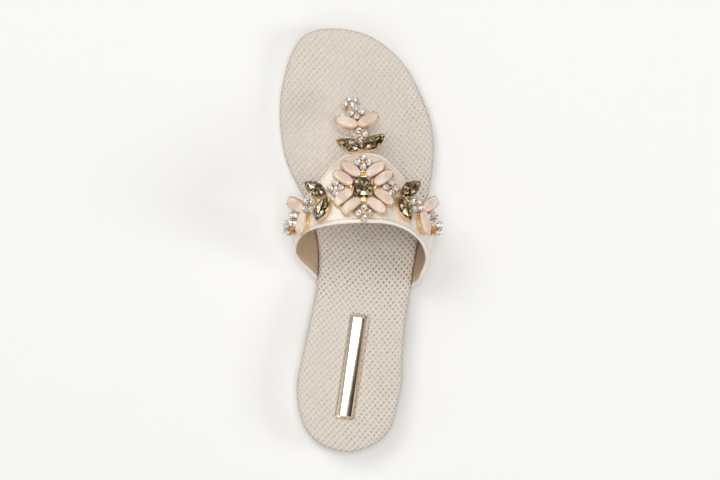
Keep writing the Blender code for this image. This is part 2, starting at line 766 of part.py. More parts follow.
def claw(frame, spot, outward):
    """Upright claw beside a stone, at a spot of its outline."""
    outward = np.asarray(outward, float) / np.linalg.norm(outward)
    across = np.array([-outward[1], outward[0]]) * CLAW_WIDTH / 2
    near, far = spot + outward * GAP, spot + outward * (GAP + CLAW_THICKNESS)
    flat = np.array([near - across, far - across, far + across, near + across])
    top = PLATE_HEIGHT + GAP + CLAW_RISE
    return lofted_solid("claw", [on_frame(frame, flat, PLATE_HEIGHT / 3), on_frame(frame, flat, top)], None)


def end_claws(frame, length, width):
    """Two claws at the outer end of an oval stone."""
    claws = []
    for angle in (-PETAL_CLAW_ANGLE, PETAL_CLAW_ANGLE):
        spot = np.array([width / 2 * math.sin(angle), length / 2 * math.cos(angle)])
        claws.append(claw(frame, spot, (math.sin(angle) / width, math.cos(angle) / length)))
    return claws


def side_claws(frame, width):
    """Two claws at the middle of a stone's long sides."""
    return [claw(frame, np.array([s * width / 2, 0.0]), (s, 0.0)) for s in (-1.0, 1.0)]


def stone(name, frame, flat, material, lift=0.0):
    """Cut stone: girdle above a smaller base, and a flat table."""
    base = PLATE_HEIGHT + lift + GAP
    rings = [on_frame(frame, flat * share, base + STONE_HEIGHT * height) for share, height in STONE_PROFILE]
    return lofted_solid(name, rings, material)


def crystal_cluster(name, frame, material, metal):
    """Four round crystals in one body; its back plate joins the metal of the setting."""
    rim = quatrefoil(CLUSTER_SPACING, CRYSTAL_DIAMETER + 2 * CLUSTER_RIM)
    metal.append(setting_plate(frame, rim, PLATE_HEIGHT + CLUSTER_LIFT))
    stone(name, frame, quatrefoil(CLUSTER_SPACING, CRYSTAL_DIAMETER), material, CLUSTER_LIFT)


def band(frames, width):
    """Flat metal band that joins the plates from behind."""
    return lofted_solid("band", band_rings(frames, width, 0.0, BAND_HEIGHT), None)


def join_metal(name, metal, material):
    """One body from the plates, claws and bands of a setting."""
    first = metal[0]
    first.name = first.data.name = name
    combine(first, metal[1:], "UNION")
    first.data.materials.clear()
    first.data.materials.append(material)
    return first


def flower(material):
    """Centre stone, eight petals in four pairs and four crystal clusters."""
    middle = strap_frame(0.0, 0.0)
    metal = [setting_plate(middle, cushion(CENTRE_LENGTH + 2 * PLATE_RIM, CENTRE_WIDTH + 2 * PLATE_RIM))]
    stone("centre_stone", middle, cushion(CENTRE_LENGTH, CENTRE_WIDTH), material["smoky_glass"])
    level = math.hypot(middle[2][0], middle[2][1])
    number = 0
    for side_sign in (-1.0, 1.0):
        for end_sign in (-1.0, 1.0):
            pair = np.array([side_sign * PETAL_PAIR_ACROSS, end_sign * PETAL_PAIR_ALONG])
            out = np.array([side_sign * math.cos(PETAL_HEADING), end_sign * math.sin(PETAL_HEADING)])
            beside = np.array([-out[1], out[0]])
            heading = math.atan2(out[0], out[1])
            for spread in (-PETAL_SPREAD, PETAL_SPREAD):
                number += 1
                across, along = pair + spread * beside
                frame = turned(strap_frame(across, along * level), heading)
                rim = setting_plate(frame, oval(PETAL_LENGTH + 2 * PLATE_RIM, PETAL_WIDTH + 2 * PLATE_RIM))
                metal += [rim, *end_claws(frame, PETAL_LENGTH, PETAL_WIDTH)]
                stone(f"petal_{number}", frame, oval(PETAL_LENGTH, PETAL_WIDTH), material["pink_opal"])
            corner = cushion(CENTRE_LENGTH, CENTRE_WIDTH)
            spot = corner[np.argmax(corner @ out)]
            metal.append(claw(middle, spot, out))
    for index, (across, along) in enumerate(FLOWER_CLUSTERS, 1):
        name = f"crystal_cluster_flower_{index}"
        crystal_cluster(name, strap_frame(across, along), material["crystal"], metal)
        steps = np.linspace(0.0, 1.0, 5)
        spokes = [strap_frame(across * share, along * share) for share in steps]
        heading = math.atan2(across, along)
        metal.append(band([turned(spoke, heading) for spoke in spokes], BAND_WIDTH))
    return join_metal("flower_frame", metal, material["gold_metal"])


def stone_pair(arm, joint, shape, length, width, name, material, metal):
    """Two stones that open in a V from a joint on the arm, away from the flower."""
    angle, turn = (SIDE_PAIR_ANGLE, SIDES[arm] * SIDE_PAIR_TURN) if arm in SIDES else (TOE_PAIR_ANGLE, 0.0)
    frame = turned(ARMS[arm](joint), turn)
    flat = shape(length, width)
    lean = math.pi / 2 - angle
    sideways = np.max(flat[:, 0] * math.cos(lean) + flat[:, 1] * math.sin(lean)) + GAP
    reach = sideways / math.cos(angle)
    for index, sign in enumerate((-1.0, 1.0), 1):
        spot = moved(frame, sign * reach * math.cos(angle), reach * math.sin(angle))
        seat = turned(spot, sign * lean)
        metal.append(setting_plate(seat, shape(length + 2 * PLATE_RIM, width + 2 * PLATE_RIM)))
        metal += end_claws(seat, length, width) if shape is oval else side_claws(seat, width)
        stone(f"{name}_{arm}_{index}", seat, flat, material)


def arm(name, material):
    """One arm: smoky pair, cluster, pink pair, cluster and end cluster on a band."""
    metal = []
    smoky, pink = material["smoky_glass"], material["pink_opal"]
    first, joint, second, end = SIDE_ARM if name in SIDES else TOE_ARM
    stone_pair(name, 0.0, navette, SMOKY_LENGTH, SMOKY_WIDTH, "smoky_stone", smoky, metal)
    stone_pair(name, joint, oval, PINK_LENGTH, PINK_WIDTH, "pink_stone", pink, metal)
    for index, distance in enumerate((first, second, end), 1):
        crystal_cluster(f"crystal_cluster_{name}_{index}", ARMS[name](distance), material["crystal"], metal)
    count = math.ceil(end / BAND_STEP) + 1
    width = SIDE_BAND_WIDTH if name in SIDES else BAND_WIDTH
    metal.append(band([ARMS[name](distance) for distance in np.linspace(0.0, end, count)], width))
    if name in SIDES:
        frame = strap_frame(SIDES[name] * LINK_ACROSS, LINK_ALONG)
        half = np.array([LINK_LENGTH, LINK_WIDTH]) / 2
        corners = np.array([(-1, -1), (1, -1), (1, 1), (-1, 1)]) * half
        metal.append(setting_plate(frame, corners))
    return join_metal(f"{name}_arm_frame", metal, material["gold_metal"])


MATERIALS = {
    "rubber": dict(colour=(0.42, 0.35, 0.27), roughness=0.75),
    "lattice_cloth": dict(colour=(0.78, 0.70, 0.60), roughness=0.6),
    "patent_leather": dict(colour=(0.86, 0.79, 0.70), roughness=0.25),
    "clear_vinyl": dict(colour=(0.95, 0.95, 0.93), roughness=0.1, transmission=0.9),
    "pale_metal": dict(colour=(0.86, 0.80, 0.70), roughness=0.15, metallic=1.0),
    "gold_metal": dict(colour=(0.85, 0.60, 0.30), roughness=0.25, metallic=1.0),
    "pink_opal": dict(colour=(0.93, 0.78, 0.70), roughness=0.2),
    "smoky_glass": dict(colour=(0.16, 0.13, 0.08), roughness=0.05),
    "crystal": dict(colour=(0.92, 0.92, 0.94), roughness=0.05, transmission=0.8),
}


def clear_scene():
    """Remove every object that the file opens with."""
    for item in list(bpy.data.objects):
        bpy.data.objects.remove(item)


def stand_on_origin():
    """Move every piece so that the model's box stands centred on the origin."""
    pieces = list(bpy.data.objects)
    corners = np.array([piece.matrix_world @ v.co for piece in pieces for v in piece.data.vertices])
    low, high = corners.min(axis=0), corners.max(axis=0)
    shift = ((low[0] + high[0]) / 2, (low[1] + high[1]) / 2, low[2])
    for piece in pieces:
        piece.location = [-value for value in shift]


def main():
    """Build every piece of the slide."""
    clear_scene()
    material = {name: make_material(name, **values) for name, values in MATERIALS.items()}
    outsole(material["rubber"])
    footbed(material["lattice_cloth"])
    strap(material["patent_leather"])
    toe_post(material["clear_vinyl"])
    inset_bar(material["pale_metal"])
    flower(material)
    for name in ARMS:
        arm(name, material)
    stand_on_origin()


main()
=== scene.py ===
"""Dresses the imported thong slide: lattice footbed cover, lasted patent strap, clear toe post,
polished bar and claw-set stones, on a pale floor in soft studio light.

All pieces are worked out in the sole's own frame (y from the back of the heel, x from the
outline's centre line, z from the ground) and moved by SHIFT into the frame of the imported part.
"""

import json
import math

import bmesh
import bpy
import numpy as np
from bpy.props import FloatProperty, FloatVectorProperty, IntProperty, PointerProperty
from mathutils import Matrix, Vector


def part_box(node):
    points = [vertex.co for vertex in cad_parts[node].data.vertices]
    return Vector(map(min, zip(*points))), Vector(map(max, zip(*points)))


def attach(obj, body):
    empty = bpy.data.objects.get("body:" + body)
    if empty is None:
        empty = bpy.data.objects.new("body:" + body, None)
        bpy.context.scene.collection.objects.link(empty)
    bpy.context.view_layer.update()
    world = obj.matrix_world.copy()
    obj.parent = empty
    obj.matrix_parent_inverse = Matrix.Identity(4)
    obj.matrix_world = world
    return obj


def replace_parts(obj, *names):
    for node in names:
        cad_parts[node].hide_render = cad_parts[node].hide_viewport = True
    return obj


bl_info = {
    "name": "Embellished Slide",
    "version": (1, 0, 0),
    "blender": (4, 5, 0),
    "location": "View3D > Sidebar > Slide",
    "description": "Builds the finished surfaces of a stone-set thong slide round its packed frame",
    "category": "Object",
}

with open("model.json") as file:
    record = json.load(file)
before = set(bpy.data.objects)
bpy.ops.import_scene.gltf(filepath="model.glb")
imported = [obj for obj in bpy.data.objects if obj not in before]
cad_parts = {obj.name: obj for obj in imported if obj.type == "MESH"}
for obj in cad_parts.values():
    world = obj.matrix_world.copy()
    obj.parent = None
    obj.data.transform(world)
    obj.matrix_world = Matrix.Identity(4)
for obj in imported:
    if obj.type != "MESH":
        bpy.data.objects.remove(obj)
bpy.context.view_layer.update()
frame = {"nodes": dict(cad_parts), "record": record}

# Sole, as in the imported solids, in metres
SOLE_LENGTH = 0.248
BALL_WIDTH, HEEL_WIDTH, HEEL_OFFSET, TOE_TIP_OFFSET = 0.0906, 0.059, -0.0056, -0.0134
HEEL_LIFT, BREAST_RUN, TOE_SPRING = 0.008, 0.003, 0.005
OUTSOLE_THICKNESS, OUTSOLE_SETBACK, OUTSOLE_CHAMFER = 0.0035, 0.0008, 0.0012
FOOTBED_THICKNESS = 0.005
WAIST_START, WAIST_END, HEEL_BREAST = 0.20, 0.55, 0.235
HEEL_SEAT_END, BALL_START, BALL_END = 0.22, 0.62, 0.76
GAP = 0.0003

# Points of the outline, of the cover's and the rubber unit's grids, where the middle line stops
# before the toe as a share of the ball's width, and the soft corners of the unit
OUTLINE_SAMPLES, COVER_STATIONS, UNIT_STATIONS, TOP_STEPS = 2880, 481, 301, 58
SPINE_TOE_SHARE, FOOT_EASE, TOP_EASE = 0.32, 0.0003, 0.0002

# Cover: the heights of its two waves, where a pit starts and how wide it opens, its slope round
# the bar, and the slow drift of its weave (reach, wave length, phase)
WAVE_WEIGHTS, PIT_START, PIT_RUN = (0.42, 0.58), 0.40, 0.54
WINDOW_PLAY, WINDOW_SLOPE, WINDOW_SINK = 0.0002, 0.0010, 0.0012
DRIFT_ACROSS, DRIFT_ALONG = (0.0030, 0.21, 0.4), (0.0042, 0.130, 0.7)

# Strap
STRAP_WALL, STRAP_MARGIN_WALL, STRAP_MARGIN, POCKET_PLAY = 0.002, 0.0012, 0.010, 0.0005
INSTEP_RISE, CROWN_OFFSET, STRAP_PEAK, STRAP_BACK = 0.049, 0.0018, 0.700, 0.538
FRONT_SET_BACK = 0.041
REAR_SET_BACK = {"medial": 0.0325, "lateral": 0.0368}
SIDE_TUCK = math.radians(38)

# Strap's turn round the footbed's lower edge as a share of its thickness, lean of the creases,
# slope of the recess in the rubber unit, and half sizes of a stitch across, along and up
STRAP_CORNER, CREASE_LEAN, POCKET_SLOPE = 0.2, 0.10, 0.0006
STITCH_HALF_SIZES, STITCH_SINK, STITCHED_SHARE = (0.00022, 0.00078, 0.00018), 0.00005, 0.97

# Section of the strap from edge to edge: nominal width, and where its points lie near an edge
SECTION_WIDTH, SECTION_MIDDLE = 0.036, 0.0054
SECTION_EDGE = np.array([0.0015, 0.0020, 0.0026, 0.0033, 0.0042])

# Clear toe post
DISC_DIAMETER, DISC_THICKNESS, COLUMN_DIAMETER = 0.0195, 0.0014, 0.0065
POST_FORWARD, POST_OFFSET, POST_TOP_OFFSET = 0.0213, -0.0035, -0.0008
STRIP_WIDTH, STRIP_THICKNESS, STRIP_OVERLAP = 0.009, 0.0016, 0.011
STRIP_REACH, STRIP_DROP, STRIP_SWING = 0.0312, 0.0235, -0.0064

# Flare of its column at both ends (extra width, how sharply it falls off) and the disc's rim
FOOT_FLARE, TOP_FLARE = (0.55, 14.0), (0.25, 12.0)
DISC_SOFTNESS, DISC_CHAMFER = 0.3, (0.0002, 0.0003)

# Ornament
CRYSTAL_DIAMETER, CRYSTAL_SPACING = 0.0033, 0.0030
STONE_GROWTH, CRYSTAL_GROWTH, TABLE_SINK = 0.0009, 0.0008, 0.10
FLOWER_BEHIND_PEAK = 0.0218
LINK_ACROSS, LINK_ALONG, LINK_LENGTH, LINK_WIDTH = 0.0199, -0.0078, 0.0044, 0.0050
PLATE_HEIGHT, LINK_BEAD, LINK_FILL = 0.0019, 0.00055, 0.42
CRYSTAL_CUP_WALL, BEAD_REACH, BEAD_HEIGHT, MIDDLE_BEAD_HEIGHT = 0.00012, 0.62, 0.75, 0.62
CUT_SIDES, SMOOTH_SIDES, CUP_SIDES, CRYSTAL_CUP_SIDES, FIRST_SEED = 16, 36, 40, 20, 7

# Bar: its bevel, the dome that its finish shows and where that starts, and the teeth round it
BAR_BEVEL, BAR_DOME, BAR_DOME_START = 0.0011, 26.0, -0.0010
TOOTH_HALF_WIDTH, TOOTH_HALF_HEIGHT, TOOTH_SLANT, TOOTH_SINK = 0.00030, 0.00026, 0.0003, 0.0001

# Half widths of the footbed as shares of the width at each place (place, inner, outer)
OUTLINE = (
    (0.15, 0.602, 0.434), (0.22, 0.550, 0.447), (0.29, 0.450, 0.431), (0.36, 0.344, 0.416),
    (0.43, 0.275, 0.401), (0.50, 0.262, 0.406), (0.56, 0.300, 0.433), (0.62, 0.371, 0.471),
    (0.68, 0.451, 0.496), (0.74, 0.488, 0.499), (0.80, 0.500, 0.466), (0.86, 0.487, 0.395),
    (0.91, 0.455, 0.320), (0.95, 0.413, 0.217), (0.98, 0.354, 0.097),
)

# Rolled edge of the footbed as shares of its thickness, from its underside up (inset, height)
ROLLED_EDGE = (
    (0.20, 0.0), (0.06, 0.05), (0.0, 0.20), (0.0, 0.42), (0.01, 0.60), (0.05, 0.74),
    (0.13, 0.85), (0.24, 0.925), (0.38, 0.97), (0.56, 0.99), (0.80, 1.0),
)

# Sections of the foot inside the strap (place, inner half, outer half, widest height, crown height)
LAST = (
    (0.34, 0.355, 0.330, 0.330, 1.060), (0.40, 0.397, 0.364, 0.330, 1.050),
    (0.46, 0.414, 0.414, 0.335, 1.040), (0.54, 0.430, 0.452, 0.345, 1.000),
    (0.62, 0.475, 0.491, 0.335, 0.845), (0.70, 0.519, 0.508, 0.305, 0.663),
    (0.78, 0.530, 0.515, 0.280, 0.480),
)

# Edges of the strap: share of the way from crown to base, share of the set-back
FRONT_EDGE = (
    (0.0, 0.0), (0.07, 0.01), (0.14, 0.04), (0.24, 0.185), (0.32, 0.36),
    (0.36, 0.46), (0.55, 0.74), (0.75, 0.88), (1.0, 1.0),
)
REAR_EDGE = {
    "medial": ((0.0, 0.0), (0.20, 0.03), (0.33, 0.08), (0.50, 0.21), (0.60, 0.34),
               (0.70, 0.50), (0.80, 0.68), (0.90, 0.84), (1.0, 1.0)),
    "lateral": ((0.0, 0.0), (0.20, 0.03), (0.33, 0.12), (0.50, 0.33), (0.60, 0.49),
                (0.70, 0.63), (0.80, 0.79), (0.90, 0.91), (1.0, 1.0)),
}

# Free end of the clear strip: shares of its reach, drop and sideways swing
STRIP_LINE = (
    (0.0, 0.0, 0.0), (0.24, 0.12, 0.15), (0.46, 0.26, 0.34), (0.66, 0.44, 0.42),
    (0.81, 0.64, 0.62), (0.91, 0.81, 0.82), (1.0, 1.0, 1.0),
)

# Soft creases pressed into the strap where it bends over the sides of the foot
# (side, share of the half arc, place between the edges, half length, half width, depth in metres)
STRAP_CREASES = (
    ("medial", 0.80, 0.35, 0.30, 0.020, 0.00030),
    ("medial", 0.70, 0.62, 0.24, 0.018, 0.00022),
    ("lateral", 0.82, 0.38, 0.30, 0.020, 0.00030),
    ("lateral", 0.71, 0.60, 0.24, 0.018, 0.00022),
)

SIDES = {"medial": -1.0, "lateral": 1.0}

# Shape family of a stone by the first word of its node's name, and the height of its rim as a
# share of the stone's
STONE_KINDS = {
    "centre": "cushion", "petal": "oval", "pink": "oval", "smoky": "navette", "crystal": "cluster",
}
CUP_HEIGHT = {"cushion": 0.42, "oval": 0.44, "navette": 0.42, "cluster": 0.36}

# Colours of the facets, from dark to bright: painted reflections and glints picked at random for
# each facet; the smoky scale also carries the stone's own brown (place on the scale, display colour)
SMOKY_TONES_AND_REFLECTIONS = (
    (0.0, (28, 20, 10)), (0.35, (70, 54, 28)), (0.62, (122, 98, 58)),
    (0.84, (190, 158, 104)), (1.0, (250, 240, 220)),
)
CRYSTAL_REFLECTIONS = (
    (0.0, (84, 70, 52)), (0.22, (176, 166, 152)), (0.45, (242, 240, 238)), (1.0, (255, 255, 255)),
)

# Floor: half its size, the radius of its flat middle and how it curls up, and its points a side
FLOOR_REACH, FLOOR_FLAT, FLOOR_CURL, FLOOR_POINTS = 3.0, 2.0, 0.3, 61
AIM_HEIGHT = 0.012

# Surroundings: colours at the horizon, overhead and on the right, where the rise from the
# horizon ends, where the right side starts and is full, and their strength
SKY_LOW, SKY_HIGH, SKY_RIGHT = (0.30, 0.27, 0.24), (0.95, 0.96, 0.98), (0.085, 0.060, 0.042)
SKY_RISE, RIGHT_SPAN, SKY_STRENGTH = 0.75, (0.18, 0.36), 0.42

# Lamps (name, place, size, power, colour)
LAMPS = (
    ("overhead", (0.0, 0.2, 2.5), 1.0, 22.0, (1.0, 0.99, 0.97)),
    ("key", (-0.9, 1.1, 1.7), 1.0, 14.0, (1.0, 0.985, 0.96)),
    ("left", (-1.5, -0.2, 0.5), 0.7, 0.8, (1.0, 0.99, 0.97)),
    ("fill", (1.9, -0.2, 1.1), 0.8, 13.0, (0.97, 0.985, 1.0)),
    ("heel", (-0.2, -1.5, 1.3), 1.2, 5.0, (1.0, 0.99, 0.97)),
)


def linear(red, green, blue):
    """Linear colour of an 8-bit display colour."""
    return tuple(v / 12.92 if v <= 0.04045 else ((v + 0.055) / 1.055) ** 2.4
                 for v in (red / 255, green / 255, blue / 255))


def toned(colour, *shares):
    """Colour times one share, or times a share for each channel."""
    return tuple(v * w for v, w in zip(colour, shares * (3 // len(shares))))


def colour_property(name, description, red, green, blue):
    """Colour setting, given as display values."""
    return FloatVectorProperty(name=name, description=description, subtype="COLOR", size=3,
                               min=0.0, max=1.0, default=linear(red, green, blue))


def length_property(name, description, default):
    """Length setting in metres."""
    return FloatProperty(name=name, description=description, default=default, precision=5,
                         subtype="DISTANCE", unit="LENGTH")


class SoleSettings(bpy.types.PropertyGroup):
    """Rubber unit and lattice footbed cover."""
    rubber: colour_property("Rubber", "Colour of the rubber unit", 178, 158, 134)
    # Pale colour of the raised threads, partly their own and partly a painted highlight on the ridges.
    thread: colour_property("Thread", "Raised threads of the cover", 243, 235, 225)
    ground: colour_property("Ground", "Cloth between the threads", 225, 214, 201)
    # Dark colour of the pits, partly the cloth's own ground and partly painted shade in the hollows.
    pit: colour_property("Pit", "Bottom of the pits", 160, 144, 126)
    pitch_across: length_property("Pitch across", "Distance between pits across the foot", 0.0033)
    pitch_along: length_property("Pitch along", "Distance between rows that line up", 0.0039)
    pit_depth: length_property("Pit depth", "Depth of a pit in the cover", 0.00013)


class StrapSettings(bpy.types.PropertyGroup):
    """Patent strap and its lining."""
    patent: colour_property("Patent", "Outside of the strap", 231, 221, 209)
    fold_highlight: colour_property("Fold", "Folded edge that catches the light", 247, 239, 229)
    lining: colour_property("Lining", "Inside of the strap", 194, 168, 138)
    # Painted highlight: the lighter colour of the folded edge stands in for the light it catches.
    seam: colour_property("Seam", "Line where the lining is stitched in", 222, 202, 176)
    thread: colour_property("Thread", "Stitches along both edges", 232, 219, 202)
    fold_width: length_property("Fold width", "Width of leather turned in over the edge", 0.0026)
    stitch_inset: length_property("Stitch inset", "Distance of the stitches from the edge", 0.0021)
    stitch_pitch: length_property("Stitch pitch", "Distance from one stitch to the next", 0.0024)


class PostSettings(bpy.types.PropertyGroup):
    """Clear toe post."""
    vinyl: colour_property("Vinyl", "Tint of the clear vinyl", 244, 242, 236)
    clearness: FloatProperty(name="Clearness", description="Share of light that passes through",
                             default=0.78, min=0.0, max=1.0, subtype="FACTOR")


class BarSettings(bpy.types.PropertyGroup):
    """Inset bar and the stitched edge of its window."""
    metal: colour_property("Metal", "Polished pale gold", 246, 236, 220)
    thread: colour_property("Thread", "Thread of the window's edge", 212, 166, 112)
    tooth_pitch: length_property("Tooth pitch", "Distance between the teeth of the edge", 0.0015)
    tooth_reach: length_property("Tooth reach", "Length of a tooth", 0.0012)


class StoneSettings(bpy.types.PropertyGroup):
    """Stones and their metal settings."""
    gold: colour_property("Gold", "Warm gold of the settings", 244, 216, 176)
    opal: colour_property("Opal", "Milky pink stones", 226, 201, 181)
    opal_light: colour_property("Opal light", "Pale clouds in the pink stones", 243, 226, 212)
    cup_wall: length_property("Cup wall", "Thickness of a setting's rim", 0.00020)
    bead: length_property("Bead", "Radius of the small gold beads", 0.00042)
    facets: IntProperty(name="Facets", description="Sides of a round crystal", default=10, min=6, max=24)


class StageSettings(bpy.types.PropertyGroup):
    """Floor, light and camera."""
    floor: colour_property("Floor", "Pale studio floor", 249, 249, 248)
    camera_height: length_property("Camera height", "Height of the camera above the floor", 1.300)
    camera_across: length_property("Camera across", "Sideways place of the camera", -0.0553)
    camera_along: length_property("Camera along", "Place of the camera along the foot", -0.0013)
    focal_length: FloatProperty(name="Focal length", description="Lens of the camera in millimetres",
                                default=110.0, unit="CAMERA")


# Curves and tables

def smooth_step(u):
    """Smooth rise from 0 to 1 while u goes from 0 to 1, flat outside: 3u squared less 2u cubed."""
    u = np.clip(u, 0.0, 1.0)
    return u * u * (3.0 - 2.0 * u)


def hermite(u, first, last, leave, arrive):
    """Cubic from first to last, with the slopes it leaves and arrives with, at u from 0 to 1."""
    return ((2 * u**3 - 3 * u**2 + 1) * first + (u**3 - 2 * u**2 + u) * leave
            + (3 * u**2 - 2 * u**3) * last + (u**3 - u**2) * arrive)


def unit(vectors):
    """Vectors along the last axis, brought to length 1."""
    return vectors / np.maximum(np.linalg.norm(vectors, axis=-1, keepdims=True), 1e-12)


def running_length(line):
    """Length along a line of points, up to each of them."""
    return np.concatenate([[0.0], np.cumsum(np.linalg.norm(np.diff(line, axis=0), axis=1))])


def curve_through(x, xs, ys):
    """Cubic Hermite curve through a table, with the table's own central-difference slopes."""
    xs, ys = np.asarray(xs, float), np.asarray(ys, float)
    slope = np.gradient(ys, xs)
    i = np.clip(np.searchsorted(xs, x) - 1, 0, len(xs) - 2)
    step = xs[i + 1] - xs[i]
    return hermite((x - xs[i]) / step, ys[i], ys[i + 1], step * slope[i], step * slope[i + 1])


def closed_spline(points, samples):
    """Periodic cubic spline by chord length; its second derivatives solve a cyclic system."""
    p = np.asarray(points, float)
    ahead, behind = np.roll(p, -1, axis=0), np.roll(p, 1, axis=0)
    h = np.linalg.norm(ahead - p, axis=1)
    before, count = np.roll(h, 1), len(p)
    system = np.diag(2 * (before + h))
    index = np.arange(count)
    system[index, index - 1] = before
    system[index, (index + 1) % count] = h
    bend = np.linalg.solve(system, 6 * ((ahead - p) / h[:, None] - (p - behind) / before[:, None]))
    knots = np.concatenate([[0.0], np.cumsum(h)])
    s = np.linspace(0.0, knots[-1], samples, endpoint=False)
    i = np.searchsorted(knots, s, side="right") - 1
    j = (i + 1) % count
    step = h[i][:, None]
    a, b = (knots[i + 1] - s)[:, None], (s - knots[i])[:, None]
    curved = (bend[i] * a**3 + bend[j] * b**3) / (6 * step)
    return curved + (p[i] / step - bend[i] * step / 6) * a + (p[j] / step - bend[j] * step / 6) * b


def width_at(place):
    """Nominal sole width: heel width behind the waist, ball width in front of it."""
    waist = smooth_step((place - WAIST_START) / (WAIST_END - WAIST_START))
    return HEEL_WIDTH + (BALL_WIDTH - HEEL_WIDTH) * waist


def seat_height(y):
    """Underside of the footbed: heel seat, slope through the waist, flat ball, toe spring."""
    place = np.asarray(y) / SOLE_LENGTH
    lift = HEEL_LIFT * (1.0 - smooth_step((place - HEEL_SEAT_END) / (BALL_START - HEEL_SEAT_END)))
    spring = TOE_SPRING * np.clip((place - BALL_END) / (1.0 - BALL_END), 0.0, None) ** 2
    return OUTSOLE_THICKNESS + lift + spring


def footbed_top(y):
    """Top of the footbed away from its rolled edge."""
    return seat_height(y) + FOOTBED_THICKNESS


def ground_height(y):
    """Underside of the outsole: flat heel, breast, then one thickness below the seat."""
    past_breast = np.clip((np.asarray(y) - HEEL_BREAST * SOLE_LENGTH) / BREAST_RUN, 0.0, 1.0)
    return past_breast * (seat_height(y) - OUTSOLE_THICKNESS)


def outline_branches():
    """Inner and outer edge of the footbed: rows of x, y and outward normal by rising y."""
    radius = HEEL_WIDTH / 2
    arc = np.radians(np.arange(180, 361, 30))
    points = [(HEEL_OFFSET + radius * math.cos(a), radius + radius * math.sin(a)) for a in arc]
    points += [(outer * width_at(place), place * SOLE_LENGTH) for place, _, outer in OUTLINE]
    points.append((TOE_TIP_OFFSET, SOLE_LENGTH))
    points += [(-inner * width_at(place), place * SOLE_LENGTH) for place, inner, _ in reversed(OUTLINE)]
    curve = closed_spline(points, OUTLINE_SAMPLES)
    tangent = unit(np.roll(curve, -1, axis=0) - np.roll(curve, 1, axis=0))
    rows = np.column_stack([curve, tangent[:, 1], -tangent[:, 0]])
    rows = np.roll(rows, -int(np.argmin(rows[:, 1])), axis=0)
    toe = int(np.argmax(rows[:, 1]))
    return {"medial": np.vstack([rows[toe:], rows[:1]])[::-1], "lateral": rows[:toe + 1]}


BRANCHES = outline_branches()
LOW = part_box("footbed")[0]
SHIFT = np.array([LOW.x - BRANCHES["medial"][:, 0].min(), LOW.y - BRANCHES["lateral"][0, 1], 0.0])


def edge_x(side, y):
    """x of the footbed's edge on one side at distance y from the heel."""
    return np.interp(y, BRANCHES[side][:, 1], BRANCHES[side][:, 0])


def sole_loop(stations, inset):
    """Outline moved inwards along its normals: heel, inner side, toe, outer side."""
    inner, outer = [
        np.column_stack([np.interp(stations, rows[:, 1], rows[:, k]) for k in (0, 2, 3)])
        for rows in BRANCHES.values()
    ]
    base = np.vstack([inner, outer[-2:0:-1]])
    y = np.concatenate([stations, stations[-2:0:-1]])
    return np.column_stack([base[:, 0], y]) - inset * base[:, 1:]


def spine_loop(stations):
    """Middle line of the sole, run there and back: it stops short of both tips."""
    y = np.clip(stations, HEEL_WIDTH / 2, SOLE_LENGTH - SPINE_TOE_SHARE * BALL_WIDTH)
    x = (edge_x("medial", y) + edge_x("lateral", y)) / 2
    line = np.column_stack([x, y])
    return np.vstack([line, line[-2:0:-1]])


# Mesh helpers

def round_turn(count):
    """Angles evenly round a full turn."""
    return np.linspace(0.0, 2 * math.pi, count, endpoint=False)


def grid_faces(rows, columns, wrap_rows=False, wrap_columns=False):
    """Quads of a grid of points in row order, joined at its ends where it wraps."""
    r = np.arange(rows if wrap_rows else rows - 1)[:, None]
    c = np.arange(columns if wrap_columns else columns - 1)[None, :]
    after, right = (r + 1) % rows, (c + 1) % columns
    here, there = r * columns, after * columns
    return np.stack([here + c, here + right, there + right, there + c], -1).reshape(-1, 4)


def surface_normals(grid, wrap_columns=False):
    """Unit normals of a grid surface from its central differences along rows and columns."""
    if wrap_columns:
        along = np.roll(grid, -1, axis=1) - np.roll(grid, 1, axis=1)
    else:
        along = np.gradient(grid, axis=1)
    return unit(np.cross(np.gradient(grid, axis=0), along))


def wrapped(grid, wrap_rows=False):
    """Points and faces of a grid surface that closes along its columns."""
    return grid.reshape(-1, 3), grid_faces(*grid.shape[:2], wrap_rows, True).tolist()


def shade(mesh, sharp):
    """Smooth shading, with edges sharp from an angle in degrees on; an angle of 0 shades it flat."""
    if sharp == 0:
        mesh.shade_flat()
        return
    mesh.shade_smooth()
    if sharp:
        mesh.set_sharp_from_angle(angle=math.radians(sharp))


def added(name, data):
    """Object in the scene for a mesh, lamp or camera."""
    made = bpy.data.objects.new(name, data)
    bpy.context.scene.collection.objects.link(made)
    return made


def piece(name, points, faces, slot, finishes, uv=None, attributes=None, indices=None, sharp=None,
          weld=True):
    """Object at the origin from points and faces: welded, faces outwards, with its finishes; the slot is
    not used.
    """
    mesh = bpy.data.meshes.new(name)
    mesh.from_pydata((np.asarray(points) + SHIFT).tolist(), [], [list(face) for face in faces])
    for finish in finishes:
        mesh.materials.append(finish)
    if indices is not None:
        mesh.polygons.foreach_set("material_index", np.asarray(indices, dtype=np.int32))
    if uv is not None:
        layer = mesh.uv_layers.new(name="surface")
        corner = np.empty(len(mesh.loops), dtype=np.int32)
        mesh.loops.foreach_get("vertex_index", corner)
        layer.data.foreach_set("uv", np.asarray(uv)[corner].astype(np.float32).ravel())
    for key, (domain, values) in (attributes or {}).items():
        layer = mesh.attributes.new(key, "FLOAT", domain)
        layer.data.foreach_set("value", np.asarray(values, np.float32))
    if weld:
        work = bmesh.new()
        work.from_mesh(mesh)
        bmesh.ops.remove_doubles(work, verts=work.verts, dist=1e-7)
        bmesh.ops.recalc_face_normals(work, faces=work.faces)
        work.to_mesh(mesh)
        work.free()
    shade(mesh, sharp)
    made = added(name, mesh)
    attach(made, "root")
    return made


